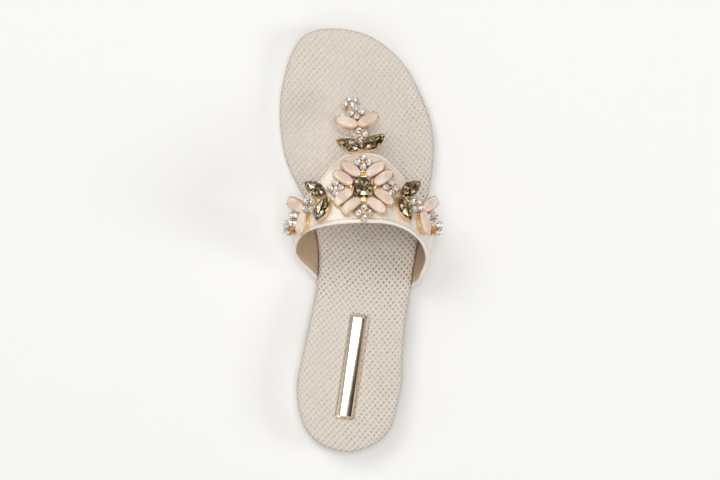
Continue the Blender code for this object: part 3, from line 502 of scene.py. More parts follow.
def bead_shape(rings=5, sides=8):
    """Unit sphere as points and faces: polar angle by rings, heading by sides, a point at each pole."""
    polar = np.linspace(0.0, math.pi, rings + 1)[1:-1, None]
    heading = round_turn(sides)[None, :]
    ball = np.stack([np.sin(polar) * np.cos(heading), np.sin(polar) * np.sin(heading),
                     np.cos(polar) + 0 * heading], -1).reshape(-1, 3)
    points = np.vstack([ball, (0.0, 0.0, 1.0), (0.0, 0.0, -1.0)])
    faces = [tuple(f) for f in grid_faces(rings - 1, sides, wrap_columns=True)]
    top, bottom, last = len(ball), len(ball) + 1, (rings - 2) * sides
    faces += [(top, i, (i + 1) % sides) for i in range(sides)]
    faces += [(bottom, last + (i + 1) % sides, last + i) for i in range(sides)]
    return points, faces


def joined(shapes):
    """Points and faces of several shapes as one."""
    every, faces, count = [], [], 0
    for points, own in shapes:
        every.append(points)
        faces += [tuple(i + count for i in face) for face in own]
        count += len(points)
    return np.vstack(every), faces


def repeated(shape, placements):
    """Copies of one shape: each placement is an origin and three axes that carry the sizes."""
    points, faces = shape
    return joined((origin + points[:, :1] * across + points[:, 1:2] * along + points[:, 2:] * up, faces)
                  for origin, across, along, up in placements)


# Finishes

class Link:
    """An output socket; arithmetic on it adds Math nodes to its tree."""

    def __init__(self, tree, socket):
        self.tree = tree
        self.socket = socket

    def __add__(self, other):
        return self.tree.math("ADD", self, other)

    def __sub__(self, other):
        return self.tree.math("SUBTRACT", self, other)

    def __rsub__(self, other):
        return self.tree.math("SUBTRACT", other, self)

    def __mul__(self, other):
        return self.tree.math("MULTIPLY", self, other)

    __radd__ = __add__
    __rmul__ = __mul__


class Tree:
    """A node tree and one way to add nodes to it."""

    def __init__(self, tree):
        self.tree = tree

    def node(self, kind, settings=None, inputs=None, output=0):
        """Adds a node: its settings first, then the values or links of its sockets."""
        made = self.tree.nodes.new("ShaderNode" + kind)
        for name, value in (settings or {}).items():
            setattr(made, name, value)
        for key, value in (inputs or {}).items():
            self.feed(made.inputs[key], value)
        return Link(self, made.outputs[output])

    def feed(self, socket, value):
        """Links a value to a socket, or sets it there."""
        if isinstance(value, Link):
            self.tree.links.new(value.socket, socket)
        else:
            socket.default_value = value

    def math(self, operation, *values):
        """Math node of one operation."""
        return self.node("Math", {"operation": operation}, dict(enumerate(values)))

    def between(self, value, low, high):
        """Smooth rise from 0 to 1 while the value goes from low to high."""
        return self.node("MapRange", {"interpolation_type": "SMOOTHSTEP"},
                         {"Value": value, "From Min": low, "From Max": high})

    def band(self, value, low, full, fading, high):
        """1 while the value is between full and fading, 0 below low and above high, smooth between."""
        return self.between(value, low, full) * (1.0 - self.between(value, fading, high))

    def cosine(self, turns):
        """Cosine of a number of turns."""
        return self.math("COSINE", turns * (2 * math.pi))

    def mix(self, factor, first, second):
        """Colour between two colours."""
        first, second = [c if isinstance(c, Link) else (*c, 1.0) for c in (first, second)]
        return self.node("Mix", {"data_type": "RGBA"}, {0: factor, 6: first, 7: second}, output=2)

    def split(self, vector):
        """Components of a vector."""
        parts = self.node("SeparateXYZ", None, {0: vector})
        return [Link(self, socket) for socket in parts.socket.node.outputs]


class Finish(Tree):
    """A material being made, with its Principled shader."""

    def __init__(self, name, colour, roughness, **constants):
        self.material = bpy.data.materials.new(name)
        self.material.use_nodes = True
        super().__init__(self.material.node_tree)
        self.shader = self.tree.nodes["Principled BSDF"]
        self.set(Base_Color=(*colour, 1.0), Roughness=roughness, **constants)

    def set(self, **inputs):
        """Feeds inputs of the Principled shader."""
        for name, value in inputs.items():
            self.feed(self.shader.inputs[name.replace("_", " ")], value)
        return self.material

    def place(self):
        """Object coordinates in metres."""
        return self.node("TexCoord", output=3)

    def upward(self):
        """How far the surface faces up: 1 for a floor, 0 for a wall, -1 for an underside."""
        return self.split(self.node("NewGeometry", output=1))[2]

    def noise(self, where, scale, detail=2.0):
        """Noise value between 0 and 1."""
        return self.node("TexNoise", None, {"Vector": where, "Scale": scale, "Detail": detail})

    def attribute(self, name):
        """Value of a float attribute of the mesh."""
        return self.node("Attribute", {"attribute_name": name}, output=2)

    def bump(self, height, distance, strength=1.0):
        """Normal from a height in metres times the distance."""
        return self.node("Bump", None, {"Height": height, "Distance": distance, "Strength": strength})


def rubber_finish(settings):
    """Matt moulded rubber with a fine grain and a shallow waved tread on its underside."""
    finish = Finish("rubber", settings.rubber, 0.7)
    where = finish.place()
    grain = finish.noise(where, 900.0, 3.0)
    cloud = finish.noise(where, 40.0)
    x, y, _ = finish.split(where)
    wave = finish.math("SINE", y * 1800.0 + finish.math("SINE", x * 700.0) * 1.6)
    tread = finish.between(wave, 0.2, 0.7) * finish.math("LESS_THAN", finish.upward(), -0.7)
    dark = toned(settings.rubber, 0.82)
    return finish.set(
        Base_Color=finish.mix(finish.between(cloud, 0.3, 0.8), settings.rubber, dark),
        Roughness=grain * 0.2 + 0.6,
        Normal=finish.bump(grain * 0.15 + tread, 0.0006, 0.7),
    )


def lattice(u, v, cosine):
    """Weave height from its phases in turns: two crossing waves, one stronger than the other."""
    weak, strong = WAVE_WEIGHTS
    return cosine(u + v) * weak + cosine(u - v) * strong


def cloth_finish(settings):
    """Lattice-woven cover: raised light threads, taupe pits, fine ribs along the threads.

    The pits are darker and deeper at the bare heel, under the strap, towards the outer side and on the
    rolled edge. Their dark colour is partly the cloth's own ground and partly painted shade in the
    hollows; under the strap it adds a painted shadow of the strap, and on the rolled edge, where the
    surface turns sideways, painted shade. The pale threads are partly their own colour and partly a
    painted highlight along their ridges.
    """
    finish = Finish("lattice_cloth", settings.ground, 0.62, Sheen_Weight=0.15, Sheen_Roughness=0.4)
    u, v, _ = finish.split(finish.node("UVMap", {"uv_map": "surface"}))
    where = finish.place()
    soft = finish.noise(where, 260.0) - 0.5
    broken = finish.between(finish.noise(where, 480.0), 0.34, 0.60)
    height = lattice(u + soft * 0.10, v + soft * 0.08, finish.cosine) + soft * 0.5
    pit = finish.between(height, 0.46, 0.94)
    thread = 1.0 - finish.between(height, -0.85, 0.10)
    line = finish.between(finish.cosine(u - v + soft * 0.30 + 0.5), 0.35, 0.98)
    across = finish.between(finish.cosine(u + v + soft * 0.34 + 0.5), 0.45, 1.0)
    rib = finish.cosine((u - v * 0.9) * 4.0) * 0.5 + 0.5
    rib_across = finish.cosine((u + v) * 3.0) * 0.5 + 0.5
    patch = finish.between(finish.noise(where, 28.0), 0.30, 0.72)
    x, y, _ = finish.split(where)
    open_heel = 1.0 - finish.between(y, -0.05, 0.05)
    # Painted shadow of the strap: the pits darken more across the strap's stretch of the footbed.
    strap_shadow = finish.band(y, -0.045, -0.02, 0.02, 0.05)
    outer = finish.between(x, 0.0, 0.045)
    # Painted shade on the rolled edge: darker where the surface turns from facing up to facing sideways.
    rolled = 1.0 - finish.between(finish.upward(), 0.50, 0.95)
    # How dark and deep the pits are: random patches, more at the bare heel and the outer side, with
    # painted shadow under the strap and painted shade on the rolled edge.
    pit_strength_and_shade = (patch * 0.30 + open_heel * 0.22 + strap_shadow * 0.40 + outer * 0.22
                + rolled * 0.45 + 0.06)
    depth = pit * pit_strength_and_shade * (broken * 0.7 + 0.55)
    # Share of the pale thread colour: the threads' own colour with a painted highlight along the raised
    # lines.
    light = (thread * 0.15 + rib * 0.10 + line * (broken * 0.45 + 0.15)
             + across * (0.50 - broken * 0.15))
    woven = finish.mix(light, settings.ground, settings.thread)
    relief = (thread * 0.1 + line * 0.45 + across * 0.42 - depth
              + (rib * 0.2 + rib_across * 0.12) * (1.0 - pit))
    # Colour darkens into the pits and on the rolled edge: the cloth's darker ground with painted shade.
    return finish.set(
        Base_Color=finish.mix(depth + rolled * 0.16, woven, settings.pit),
        Roughness=pit * 0.2 + 0.52,
        Normal=finish.bump(relief, 0.00045),
    )


def patent_finish(settings):
    """Cream patent: clear coat over soft leather, faintly clouded, with a painted highlight along its
    folded edge and painted shade in its stitch groove.
    """
    finish = Finish("patent_leather", settings.patent, 0.28, Coat_Weight=0.6, Coat_Roughness=0.06,
                    Subsurface_Weight=0.08, Subsurface_Radius=(0.004, 0.003, 0.002))
    where = finish.place()
    edge = finish.attribute("edge")
    cloud = finish.noise(where, 35.0)
    # Painted highlight along the folded edge.
    fold_highlight = 1.0 - finish.between(edge, 0.8, 1.7)
    groove = finish.band(edge, 1.5, 2.0, 2.2, 2.7)
    body = finish.mix(finish.between(cloud, 0.35, 0.75), settings.patent,
                      toned(settings.patent, 0.97, 0.94, 0.90))
    # Painted shade in the stitch groove, which the bump below also presses in.
    groove_shaded = finish.mix(groove * 0.35, body, toned(settings.patent, 0.75))
    grain = finish.noise(where, 1400.0)
    return finish.set(
        Base_Color=finish.mix(fold_highlight, groove_shaded, settings.fold_highlight),
        Roughness=cloud * 0.12 + 0.20,
        Normal=finish.bump(grain * 0.06 - groove * 0.8, 0.0003, 0.5),
    )


def lining_finish(settings):
    """Tan lining leather with a fine grain and a lighter seam line inside the edge."""
    finish = Finish("strap_lining", settings.lining, 0.5)
    where = finish.place()
    seam = finish.band(finish.attribute("edge"), 4.0, 4.3, 4.8, 5.2)
    grain = finish.noise(where, 800.0, 3.0)
    cloud = finish.between(finish.noise(where, 60.0), 0.3, 0.75)
    body = finish.mix(cloud, settings.lining, toned(settings.lining, 0.78))
    return finish.set(
        Base_Color=finish.mix(seam, body, settings.seam),
        Roughness=grain * 0.25 + 0.35,
        Normal=finish.bump(grain * 0.3 + seam * 0.6, 0.0004, 0.6),
    )


def thread_finish(name, colour):
    """Twisted thread: fine slanting ribs and a soft sheen."""
    finish = Finish(name, colour, 0.5, Sheen_Weight=0.3)
    x, y, z = finish.split(finish.place())
    twist = finish.math("SINE", (x + y + z) * 9000.0) * 0.5 + 0.5
    return finish.set(
        Base_Color=finish.mix(twist * 0.6, colour, toned(colour, 0.6)),
        Normal=finish.bump(twist, 0.0001, 0.5),
    )


def vinyl_finish(settings):
    """Clear vinyl: passes most light face on, shows at its edges, with a glossy skin."""
    finish = Finish("clear_vinyl", settings.vinyl, 0.08, Coat_Weight=0.5, IOR=1.5)
    rim = finish.node("LayerWeight", None, {"Blend": 0.35}, output=1)
    cloud = finish.noise(finish.place(), 120.0)
    clear = settings.clearness
    return finish.set(
        Alpha=rim * clear + (1.0 - clear),
        Roughness=cloud * 0.08 + 0.04,
        Normal=finish.bump(cloud, 0.0001, 0.3),
    )


def polished_finish(name, colour, roughness, wear, dome=None):
    """Plated metal: faint clouding and fine marks, slightly deeper colour where it is duller.

    A dome rounds the look of a flat face on one side: a line along it, the direction away from
    the line, how sharply the face falls off with the square of the distance from there, and
    how far it reaches.
    """
    finish = Finish(name, colour, roughness, Metallic=1.0)
    where = finish.place()
    cloud = finish.noise(where, 180.0, 3.0)
    marks = finish.noise(where, 2600.0)
    height = (marks * 0.4 + cloud) * (0.00007 * wear)
    if dome:
        (middle_x, middle_y), (side_x, side_y), fall, reach = dome
        x, y, _ = finish.split(where)
        away = finish.math("MAXIMUM", (x - middle_x) * side_x + (y - middle_y) * side_y, 0.0)
        away = finish.math("MINIMUM", away, reach)
        height = height - away * away * fall
    deep = toned(colour, 0.90, 0.84, 0.75)
    return finish.set(
        Base_Color=finish.mix(finish.between(cloud, 0.35, 0.75) * wear, colour, deep),
        Roughness=cloud * wear * 0.25 + roughness,
        Normal=finish.bump(height, 1.0),
    )


def opal_finish(settings):
    """Milky pink resin: pale clouds under a glossy skin."""
    finish = Finish("pink_opal", settings.opal, 0.14, Coat_Weight=0.4, Coat_Roughness=0.05,
                    Subsurface_Weight=0.15, Subsurface_Radius=(0.0015, 0.0014, 0.0012))
    cloud = finish.noise(finish.place(), 160.0)
    return finish.set(
        Base_Color=finish.mix(finish.between(cloud, 0.38, 0.66), settings.opal, settings.opal_light),
        Roughness=cloud * 0.1 + 0.08,
        Normal=finish.bump(cloud, 0.0002, 0.25),
    )


def facet_finish(name, tones, roughness, metallic):
    """Foiled cut glass with painted reflections: each facet takes its own colour from a scale, a
    painted reflection or glint standing in for what it would mirror."""
    stops = [(place, linear(*colour)) for place, colour in tones]
    mixed = stops[0][1]
    finish = Finish(name, mixed, roughness, Metallic=metallic, Coat_Weight=1.0, Coat_Roughness=0.02)
    # Random share per facet that picks its painted reflection from the scale.
    painted_reflection = finish.attribute("facet")
    inner = finish.noise(finish.place(), 700.0, 1.0)
    for (low, _), (high, upper) in zip(stops, stops[1:]):
        mixed = finish.mix(finish.between(painted_reflection + (inner - 0.5) * 0.35, low, high), mixed, upper)
    return finish.set(Base_Color=mixed, Roughness=inner * 0.06 + roughness)


# Sole

def stations_along(count):
    """Distances from the heel, closer together towards both tips."""
    return SOLE_LENGTH * (1.0 - np.cos(np.linspace(0.0, math.pi, count))) / 2


def bar_seat():
    """Frame of the inset bar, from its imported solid: centre, side and length axis, half sizes."""
    centre, side, forward, _, _, high = solid_axes("inset_bar")
    return centre, side, forward, high[0], high[1]


def window_dip(x, y):
    """How far the cover sinks under the bar: 1 inside its outline, 0 from a little way outside."""
    centre, side, forward, half_width, half_length = bar_seat()
    x, y = x + SHIFT[0] - centre[0], y + SHIFT[1] - centre[1]
    outside = np.maximum(np.abs(x * side[0] + y * side[1]) - half_width,
                         np.abs(x * forward[0] + y * forward[1]) - half_length)
    return 1.0 - smooth_step((outside - WINDOW_PLAY) / WINDOW_SLOPE)


def weave_phases(settings, grid):
    """Phases of the weave: plan distances over the pitches, carried on down the rolled edge."""
    outwards = unit(grid[:, :, :2] - grid[:1, :, :2])
    down = (footbed_top(grid[:, :, 1]) - grid[:, :, 2])[..., None] * outwards
    phases = []
    for axis, pitch, (reach, length, phase) in ((0, settings.pitch_across, DRIFT_ACROSS),
                                                (1, settings.pitch_along, DRIFT_ALONG)):
        drift = reach * np.sin(2 * math.pi * grid[:, :, 1 - axis] / length + phase)
        phases.append((grid[:, :, axis] + drift + down[..., axis]) / pitch)
    return phases


def footbed_cover(settings, finish):
    """Cover of the footbed as a surface of two parameters.

    One runs round the outline; the other runs from the middle line out over the top, round
    the rolled edge and in again underneath. The top sinks by the weave's height in each pit
    and by the bar's window. Pits follow two crossing waves whose phases drift gently.
    """
    stations = stations_along(COVER_STATIONS)
    spine = spine_loop(stations)
    profile = np.array(ROLLED_EDGE)[::-1]
    edge = [sole_loop(stations, inset * FOOTBED_THICKNESS) for inset, _ in profile]
    share = np.linspace(0.0, 1.0, TOP_STEPS)[:-1]
    plan = [spine + (edge[0] - spine) * s for s in share] + edge
    plan = np.array(plan + [edge[-1] + (spine - edge[-1]) * s for s in (0.33, 0.66, 1.0)])
    height = np.concatenate([np.ones(TOP_STEPS - 1), profile[:, 1], np.zeros(3)])[:, None]
    x, y = plan[:, :, 0], plan[:, :, 1]
    grid = np.stack([x, y, seat_height(y) + height * FOOTBED_THICKNESS], -1)
    u, v = weave_phases(settings, grid)
    wave = lattice(u, v, lambda turns: np.cos(2 * math.pi * turns))
    pit = smooth_step((wave - PIT_START) / PIT_RUN)
    raised = smooth_step((height - 0.30) / 0.45) * (height > 0.0)
    dip = window_dip(x, y)
    sink = settings.pit_depth * pit * raised * (1.0 - dip) + WINDOW_SINK * dip * (height > 0.99)
    normal = surface_normals(grid, wrap_columns=True)
    normal *= np.sign(normal[TOP_STEPS // 2, 100, 2])
    grid = grid - normal * sink[..., None]
    cover = piece("footbed_cover", *wrapped(grid), "lattice_cloth", [finish],
                  uv=np.column_stack([u.ravel(), v.ravel()]))
    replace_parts(cover, "footbed")


def outsole_unit(finish):
    """Rubber unit as a surface of two parameters: round the outline, and from the ground's middle
    out over the chamfer and up the side, then in over the top, sunk where the strap is lasted in."""
    stations = stations_along(UNIT_STATIONS)
    spine = spine_loop(stations)
    wall = OUTSOLE_SETBACK
    insets = (wall + OUTSOLE_CHAMFER, wall + 0.35 * OUTSOLE_CHAMFER, wall, wall, wall, wall + TOP_EASE,
              STRAP_MARGIN + POCKET_PLAY, STRAP_MARGIN + 2 * POCKET_PLAY)
    loops = [sole_loop(stations, inset) for inset in insets]
    pocket = strap_pocket(loops[2])
    plan = [spine] + [spine + (loops[0] - spine) * s for s in (0.4, 0.8)] + loops
    plan = np.array(plan + [loops[-1] + (spine - loops[-1]) * s for s in (0.5, 1.0)])
    y = plan[:, :, 1]
    z = ground_height(y)
    top = seat_height(y) - GAP
    z[4] += FOOT_EASE
    z[5] += OUTSOLE_CHAMFER
    z[6] = z[5] + 0.5 * (top[6] - z[5]) - 0.5 * pocket
    z[7:10] = top[7:10] - pocket
    z[10:] = top[10:]
    grid = np.stack([plan[:, :, 0], y, z], -1)
    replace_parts(piece("outsole_unit", *wrapped(grid), "rubber", [finish], sharp=50), "outsole")


def strap_pocket(loop):
    """Depth of the strap's recess along the outline, 0 away from the strap."""
    depth = np.zeros(len(loop))
    x, y = loop.T
    for side, sign in SIDES.items():
        front, rear = strap_ends(side, np.array(1.0))
        inside = (smooth_step((y - rear + POCKET_PLAY) / POCKET_SLOPE)
                  * smooth_step((front + POCKET_PLAY - y) / POCKET_SLOPE))
        own = np.sign(x - (edge_x("medial", y) + edge_x("lateral", y)) / 2) == sign
        depth += inside * own * (STRAP_MARGIN_WALL + GAP)
    return depth


# Strap

def strap_ends(side, share):
    """Front and rear edge of the strap, as distances from the heel, at shares of its half arc."""
    front = curve_through(share, *zip(*FRONT_EDGE))
    rear = curve_through(share, *zip(*REAR_EDGE[side]))
    return (STRAP_PEAK * SOLE_LENGTH - FRONT_SET_BACK * front,
            STRAP_BACK * SOLE_LENGTH - REAR_SET_BACK[side] * rear)


def last_section(side, y):
    """Half section of the foot at y: a quarter ellipse from the crown to the widest point, then a
    Hermite curve that tucks in to the side of the footbed."""
    places, inner, outer, widest, crown = zip(*LAST)
    sign, place, top = SIDES[side], y / SOLE_LENGTH, footbed_top(y)
    half = BALL_WIDTH * curve_through(place, places, inner if sign < 0 else outer)
    wide_z = top + INSTEP_RISE * curve_through(place, places, widest)
    crown_z = top + INSTEP_RISE * curve_through(place, places, crown)
    angle = np.linspace(0.0, math.pi / 2, 60)
    upper = np.column_stack([CROWN_OFFSET + sign * half * np.sin(angle),
                             wide_z + (crown_z - wide_z) * np.cos(angle)])
    end = np.array([edge_x(side, y) + sign * GAP, seat_height(y) + 0.6 * FOOTBED_THICKNESS])
    pull = np.linalg.norm(end - upper[-1])
    leave = pull * np.array([0.0, -1.0])
    arrive = pull * np.array([-sign * math.sin(SIDE_TUCK), -math.cos(SIDE_TUCK)])
    u = np.linspace(0.0, 1.0, 60)[1:, None]
    return np.vstack([upper, hermite(u, upper[-1], end, leave, arrive)])


LAST_PLACES = np.linspace(0.36, 0.78, 130) * SOLE_LENGTH
LAST_SHARES = np.linspace(0.0, 1.0, 240)


def last_table(side):
    """Sections at many places, resampled to even shares of their running length, and the lengths."""
    table, lengths = [], []
    for y in LAST_PLACES:
        section = last_section(side, y)
        run = running_length(section)
        table.append([np.interp(LAST_SHARES * run[-1], run, section[:, k]) for k in (0, 1)])
        lengths.append(run[-1])
    return np.array(table), np.array(lengths)


LAST_TABLES = {side: last_table(side) for side in SIDES}


def inside_points(side, share, y):
    """Points on the inside of the strap at shares of the half arc and distances from the heel."""
    table = LAST_TABLES[side][0]
    pitch = LAST_PLACES[1] - LAST_PLACES[0]
    a = np.clip((y - LAST_PLACES[0]) / pitch, 0, len(LAST_PLACES) - 1.001)
    b = np.clip(share * (len(LAST_SHARES) - 1), 0, len(LAST_SHARES) - 1.001)
    i, j = a.astype(int), b.astype(int)
    p, q = a - i, b - j
    corner = [table[i + m, k, j + n] * (p if m else 1 - p) * (q if n else 1 - q)
              for k in (0, 1) for m in (0, 1) for n in (0, 1)]
    return np.stack([sum(corner[:4]), y, sum(corner[4:])], -1)


def half_strap(side, shares, places):
    """Inside surface of one half of the strap, rows down the side and columns from rear to front."""
    front, rear = strap_ends(side, shares)
    y = rear[:, None] + places * (front - rear)[:, None]
    rows = inside_points(side, np.broadcast_to(shares[:, None], y.shape), y)
    edge_y = y[-1]
    sign, seat, edge = SIDES[side], seat_height(edge_y), edge_x(side, edge_y)
    chamfer = STRAP_CORNER * FOOTBED_THICKNESS
    down = [(edge + sign * GAP, seat + 1.8 * chamfer), (edge + sign * GAP, seat + chamfer),
            (edge - 0.25 * sign * chamfer, seat + 0.3 * chamfer), (edge - sign * chamfer, seat - GAP),
            (edge - sign * STRAP_MARGIN, seat - GAP)]
    margin = np.array([np.stack([x, edge_y, z], -1) for x, z in down])
    return np.concatenate([rows, margin])


def strap_rim():
    """Loop of the strap's section from rear to front and back inside, with half-round edges:
    distances from the rear edge for a strap of the section's width, and shares of the wall."""
    round_off, width = STRAP_WALL / 2, SECTION_WIDTH
    angle = np.radians(np.linspace(-90, 90, 9))
    middle = np.linspace(SECTION_MIDDLE, width - SECTION_MIDDLE, 20)
    across = np.concatenate([SECTION_EDGE, middle, width - SECTION_EDGE[::-1]])
    rear = round_off * (1.0 - np.cos(angle))
    distance = np.concatenate([rear, across, width - rear[::-1], across[::-1]])
    share = 0.5 + 0.5 * np.sin(angle)
    thick = np.concatenate([share, np.ones(len(across)), share[::-1], np.zeros(len(across))])
    return distance, thick


def crease_depth(side, shares, places):
    """Soft troughs across the strap: the product of a bell along the arc and one from edge to edge."""
    depth = np.zeros((len(shares), len(places)))
    for name, share, place, half_length, half_width, deep in STRAP_CREASES:
        if name == side:
            lean = share + CREASE_LEAN * (places - place)
            along = np.exp(-(((shares[:, None] - lean[None, :]) / half_width) ** 2))
            depth += deep * along * np.exp(-(((places - place) / half_length) ** 2))[None, :]
    return depth


def both_halves(halves):
    """Rows of the two halves of the strap as one sheet, from the inner margin to the outer."""
    return np.concatenate([halves["medial"][::-1], halves["lateral"][1:]])


def strap_shell(settings, patent, lining):
    """Lasted strap as a surface of two parameters.

    One runs from the inner margin over the crown to the outer margin; the other runs round the
    wall's section. Each point is the inside surface moved out by its share of the wall, which
    thins under the footbed, less the creases.
    """
    distance, thick = strap_rim()
    places = distance / SECTION_WIDTH
    shares = np.linspace(0.0, 1.0, 84)
    inner = both_halves({side: half_strap(side, shares, places) for side in SIDES})
    rows, columns = inner.shape[:2]
    flat = np.zeros((5, columns))
    crease = both_halves({side: np.vstack([crease_depth(side, shares, places), flat])
                          for side in SIDES})
    order = np.argsort(places, kind="stable")
    keep = order[np.concatenate([[True], np.diff(places[order]) > 1e-6])]
    lookup = np.searchsorted(places[keep], places).clip(0, len(keep) - 1)
    normal = surface_normals(inner[:, keep])[:, lookup]
    normal *= np.sign(normal[rows // 2, columns // 4, 2])
    wall = np.full(rows, STRAP_WALL)
    wall[:2] = wall[-2:] = STRAP_MARGIN_WALL
    wall[2:5] = wall[-5:-2][::-1] = np.linspace(STRAP_MARGIN_WALL, STRAP_WALL, 5)[1:4]
    grid = inner + normal * (wall[:, None] * thick[None, :] - crease)[..., None]
    edge = np.tile(np.minimum(distance, SECTION_WIDTH - distance) * 1000, rows)
    quads = grid_faces(rows, columns, wrap_columns=True)
    caps = [list(range(columns)), [(rows - 1) * columns + i for i in range(columns)][::-1]]
    inside = (thick[quads[:, 0] % columns] < 0.05) & (thick[quads[:, 1] % columns] < 0.05)
    deep = edge[quads].min(axis=1) >= settings.fold_width * 1000 - 0.2
    indices = np.concatenate([(inside & deep).astype(int), [0, 0]])
    shell = piece("strap_upper", grid.reshape(-1, 3), [*quads.tolist(), *caps], "patent_leather",
                  [patent, lining], attributes={"edge": ("POINT", edge)}, indices=indices)
    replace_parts(shell, "strap")


def strap_stitches(settings, finish):
    """Stitches along both edges: short capsules set into the groove, spaced evenly by length."""
    shares = np.linspace(0.0, STITCHED_SHARE, 400)
    placements = []
    for side in SIDES:
        front, rear = strap_ends(side, shares)
        for y in (rear + settings.stitch_inset, front - settings.stitch_inset):
            line = inside_points(side, shares, y)
            ahead = inside_points(side, shares, y + GAP) - line
            along = np.gradient(line, axis=0)
            up = unit(np.cross(along, ahead))
            outwards = line - line.mean(axis=0) + (0, 0, 0.05)
            up *= np.sign((up * outwards).sum(axis=1))[:, None]
            run = running_length(line)
            spots = np.arange(settings.stitch_pitch / 2, run[-1], settings.stitch_pitch)
            for i in np.searchsorted(run, spots):
                way = unit(along[i])
                axes = np.array([np.cross(way, up[i]), way, up[i]])
                origin = line[i] + up[i] * (STRAP_WALL - STITCH_SINK)
                placements.append((origin, *axes * np.array(STITCH_HALF_SIZES)[:, None]))
    piece("strap_stitches", *repeated(bead_shape(4, 6), placements), "patent_leather", [finish],
          weld=False)


# Toe post

def strip_line():
    """Top centre line of the clear strip, from under the strap to its free end."""
    tip_y = STRAP_PEAK * SOLE_LENGTH
    back = np.linspace(STRIP_OVERLAP, 0.0, 12)
    under = inside_points("lateral", np.zeros(12), tip_y - back) - (0.0, 0.0, 2 * GAP)
    share = np.linspace(0.0, 1.0, 49)[1:]
    knots = np.linspace(0.0, 1.0, len(STRIP_LINE))
    reach, drop, swing = [curve_through(share, knots, column) for column in zip(*STRIP_LINE)]
    free = under[-1] + np.column_stack([STRIP_SWING * swing, STRIP_REACH * reach, -STRIP_DROP * drop])
    return np.vstack([under, free])


def rounded_box(width, thickness, sides):
    """Section of a moulded strip: a superellipse of the fifth power, its top at zero."""
    angle = round_turn(sides)
    c, s = np.cos(angle), np.sin(angle)
    radius = (np.abs(c) ** 5 + np.abs(s) ** 5) ** -0.2
    return np.column_stack([width / 2 * radius * c, thickness / 2 * (radius * s - 1.0)])


def turned_rings(levels, sides):
    """Rings of a round body from rows of centre x, y, z and radius."""
    angle = round_turn(sides)
    return np.array([np.column_stack([x + r * np.cos(angle), y + r * np.sin(angle), np.full(sides, z)])
                     for x, y, z, r in levels])


def closed_tube(rings):
    """Points and faces of a tube through rings of equal count, closed by a face at each end."""
    count, sides = rings.shape[:2]
    points, faces = wrapped(rings)
    return points, faces + [list(range(sides))[::-1], [(count - 1) * sides + i for i in range(sides)]]


def flare(share, extra, fall):
    """Extra width of the column that dies away with the distance from its end."""
    return extra * np.exp(-share * fall)


def clear_post(finish):
    """Clear moulding: a strip with a rounded section carried along its line, a flared column and a
    disc with a soft rim that lies on the footbed, joined into one body."""
    line = strip_line()
    forward = unit(np.gradient(line, axis=0))
    sideways = unit(np.cross(forward, (0.0, 0.0, 1.0)))
    up = np.cross(sideways, forward)
    section = rounded_box(STRIP_WIDTH, STRIP_THICKNESS, 28)
    taper = np.ones(len(line))
    taper[-6:] = np.sqrt(1.0 - np.linspace(0.0, 0.95, 6) ** 2)
    strip = line[:, None] + (sideways[:, None] * section[None, :, :1] * taper[:, None, None]
                             + up[:, None] * section[None, :, 1:])
    x, y = POST_OFFSET, STRAP_PEAK * SOLE_LENGTH + POST_FORWARD
    floor = float(footbed_top(y)) + GAP
    foot = floor + DISC_THICKNESS / 2
    top = float(np.interp(y, line[:, 1], line[:, 2])) - STRIP_THICKNESS / 2
    share = np.linspace(0.0, 1.0, 16)
    wide = 1.0 + flare(share, *FOOT_FLARE) + flare(1.0 - share, *TOP_FLARE)
    column = turned_rings([(x + s * (POST_TOP_OFFSET - POST_OFFSET), y, foot + s * (top - foot),
                            w * COLUMN_DIAMETER / 2) for s, w in zip(share, wide)], 32)
    column[-1, :, 2] = np.interp(column[-1, :, 1], line[:, 1], line[:, 2]) - STRIP_THICKNESS / 2
    edge, soft = DISC_DIAMETER / 2, DISC_THICKNESS * DISC_SOFTNESS
    rim = [(edge - DISC_CHAMFER[0], 0.0), (edge, DISC_CHAMFER[1])]
    rim += [(edge - soft + soft * math.cos(a), DISC_THICKNESS - soft + soft * math.sin(a))
            for a in np.radians(np.linspace(0, 90, 6))]
    disc = turned_rings([(x, y, GAP + height, radius) for radius, height in rim], 64)
    disc[..., 2] += footbed_top(disc[..., 1])
    bodies = [piece("toe_post_" + name, *closed_tube(rings), "clear_vinyl", [finish], sharp=40)
              for name, rings in (("strip", strip), ("column", column), ("disc", disc))]
    join(bodies, "toe_post_clear")
    shade(bodies[0].data, 40)
    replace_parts(bodies[0], "toe_post")


def join(bodies, name):
    """Union of bodies in the first of them, which takes the name."""
    target = bodies[0]
    for other in bodies[1:]:
        step = target.modifiers.new("union", "BOOLEAN")
        step.operation = "UNION"
        step.solver = "EXACT"
        step.object = other
    bpy.context.view_layer.update()
    result = bpy.data.meshes.new_from_object(target.evaluated_get(bpy.context.evaluated_depsgraph_get()))
    target.modifiers.clear()
    target.data = result
    target.name = result.name = name
    for other in bodies[1:]:
        bpy.data.objects.remove(other)


# Bar

def solid_points(node):
    """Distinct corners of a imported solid."""
    mesh = frame["nodes"][node].data
    points = np.empty(3 * len(mesh.vertices))
    mesh.vertices.foreach_get("co", points)
    return np.unique(np.round(points.reshape(-1, 3), 6), axis=0)


def solid_axes(node):
    """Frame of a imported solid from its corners: centre, then side, long and thin axis by rising
    spread, the thin one upwards, and its lowest and highest corner along the three."""
    points = solid_points(node)
    middle = (points.min(axis=0) + points.max(axis=0)) / 2
    centre = middle if node == "inset_bar" else points.mean(axis=0)
    _, axes = np.linalg.eigh(np.cov((points - centre).T))
    up, side, forward = axes.T
    up = up * np.sign(up[2])
    forward = forward * (np.sign(forward[1]) or 1.0)
    side = np.cross(forward, up)
    local = (points - centre) @ np.column_stack([side, forward, up])
    return centre, side, forward, up, local.min(axis=0), local.max(axis=0)


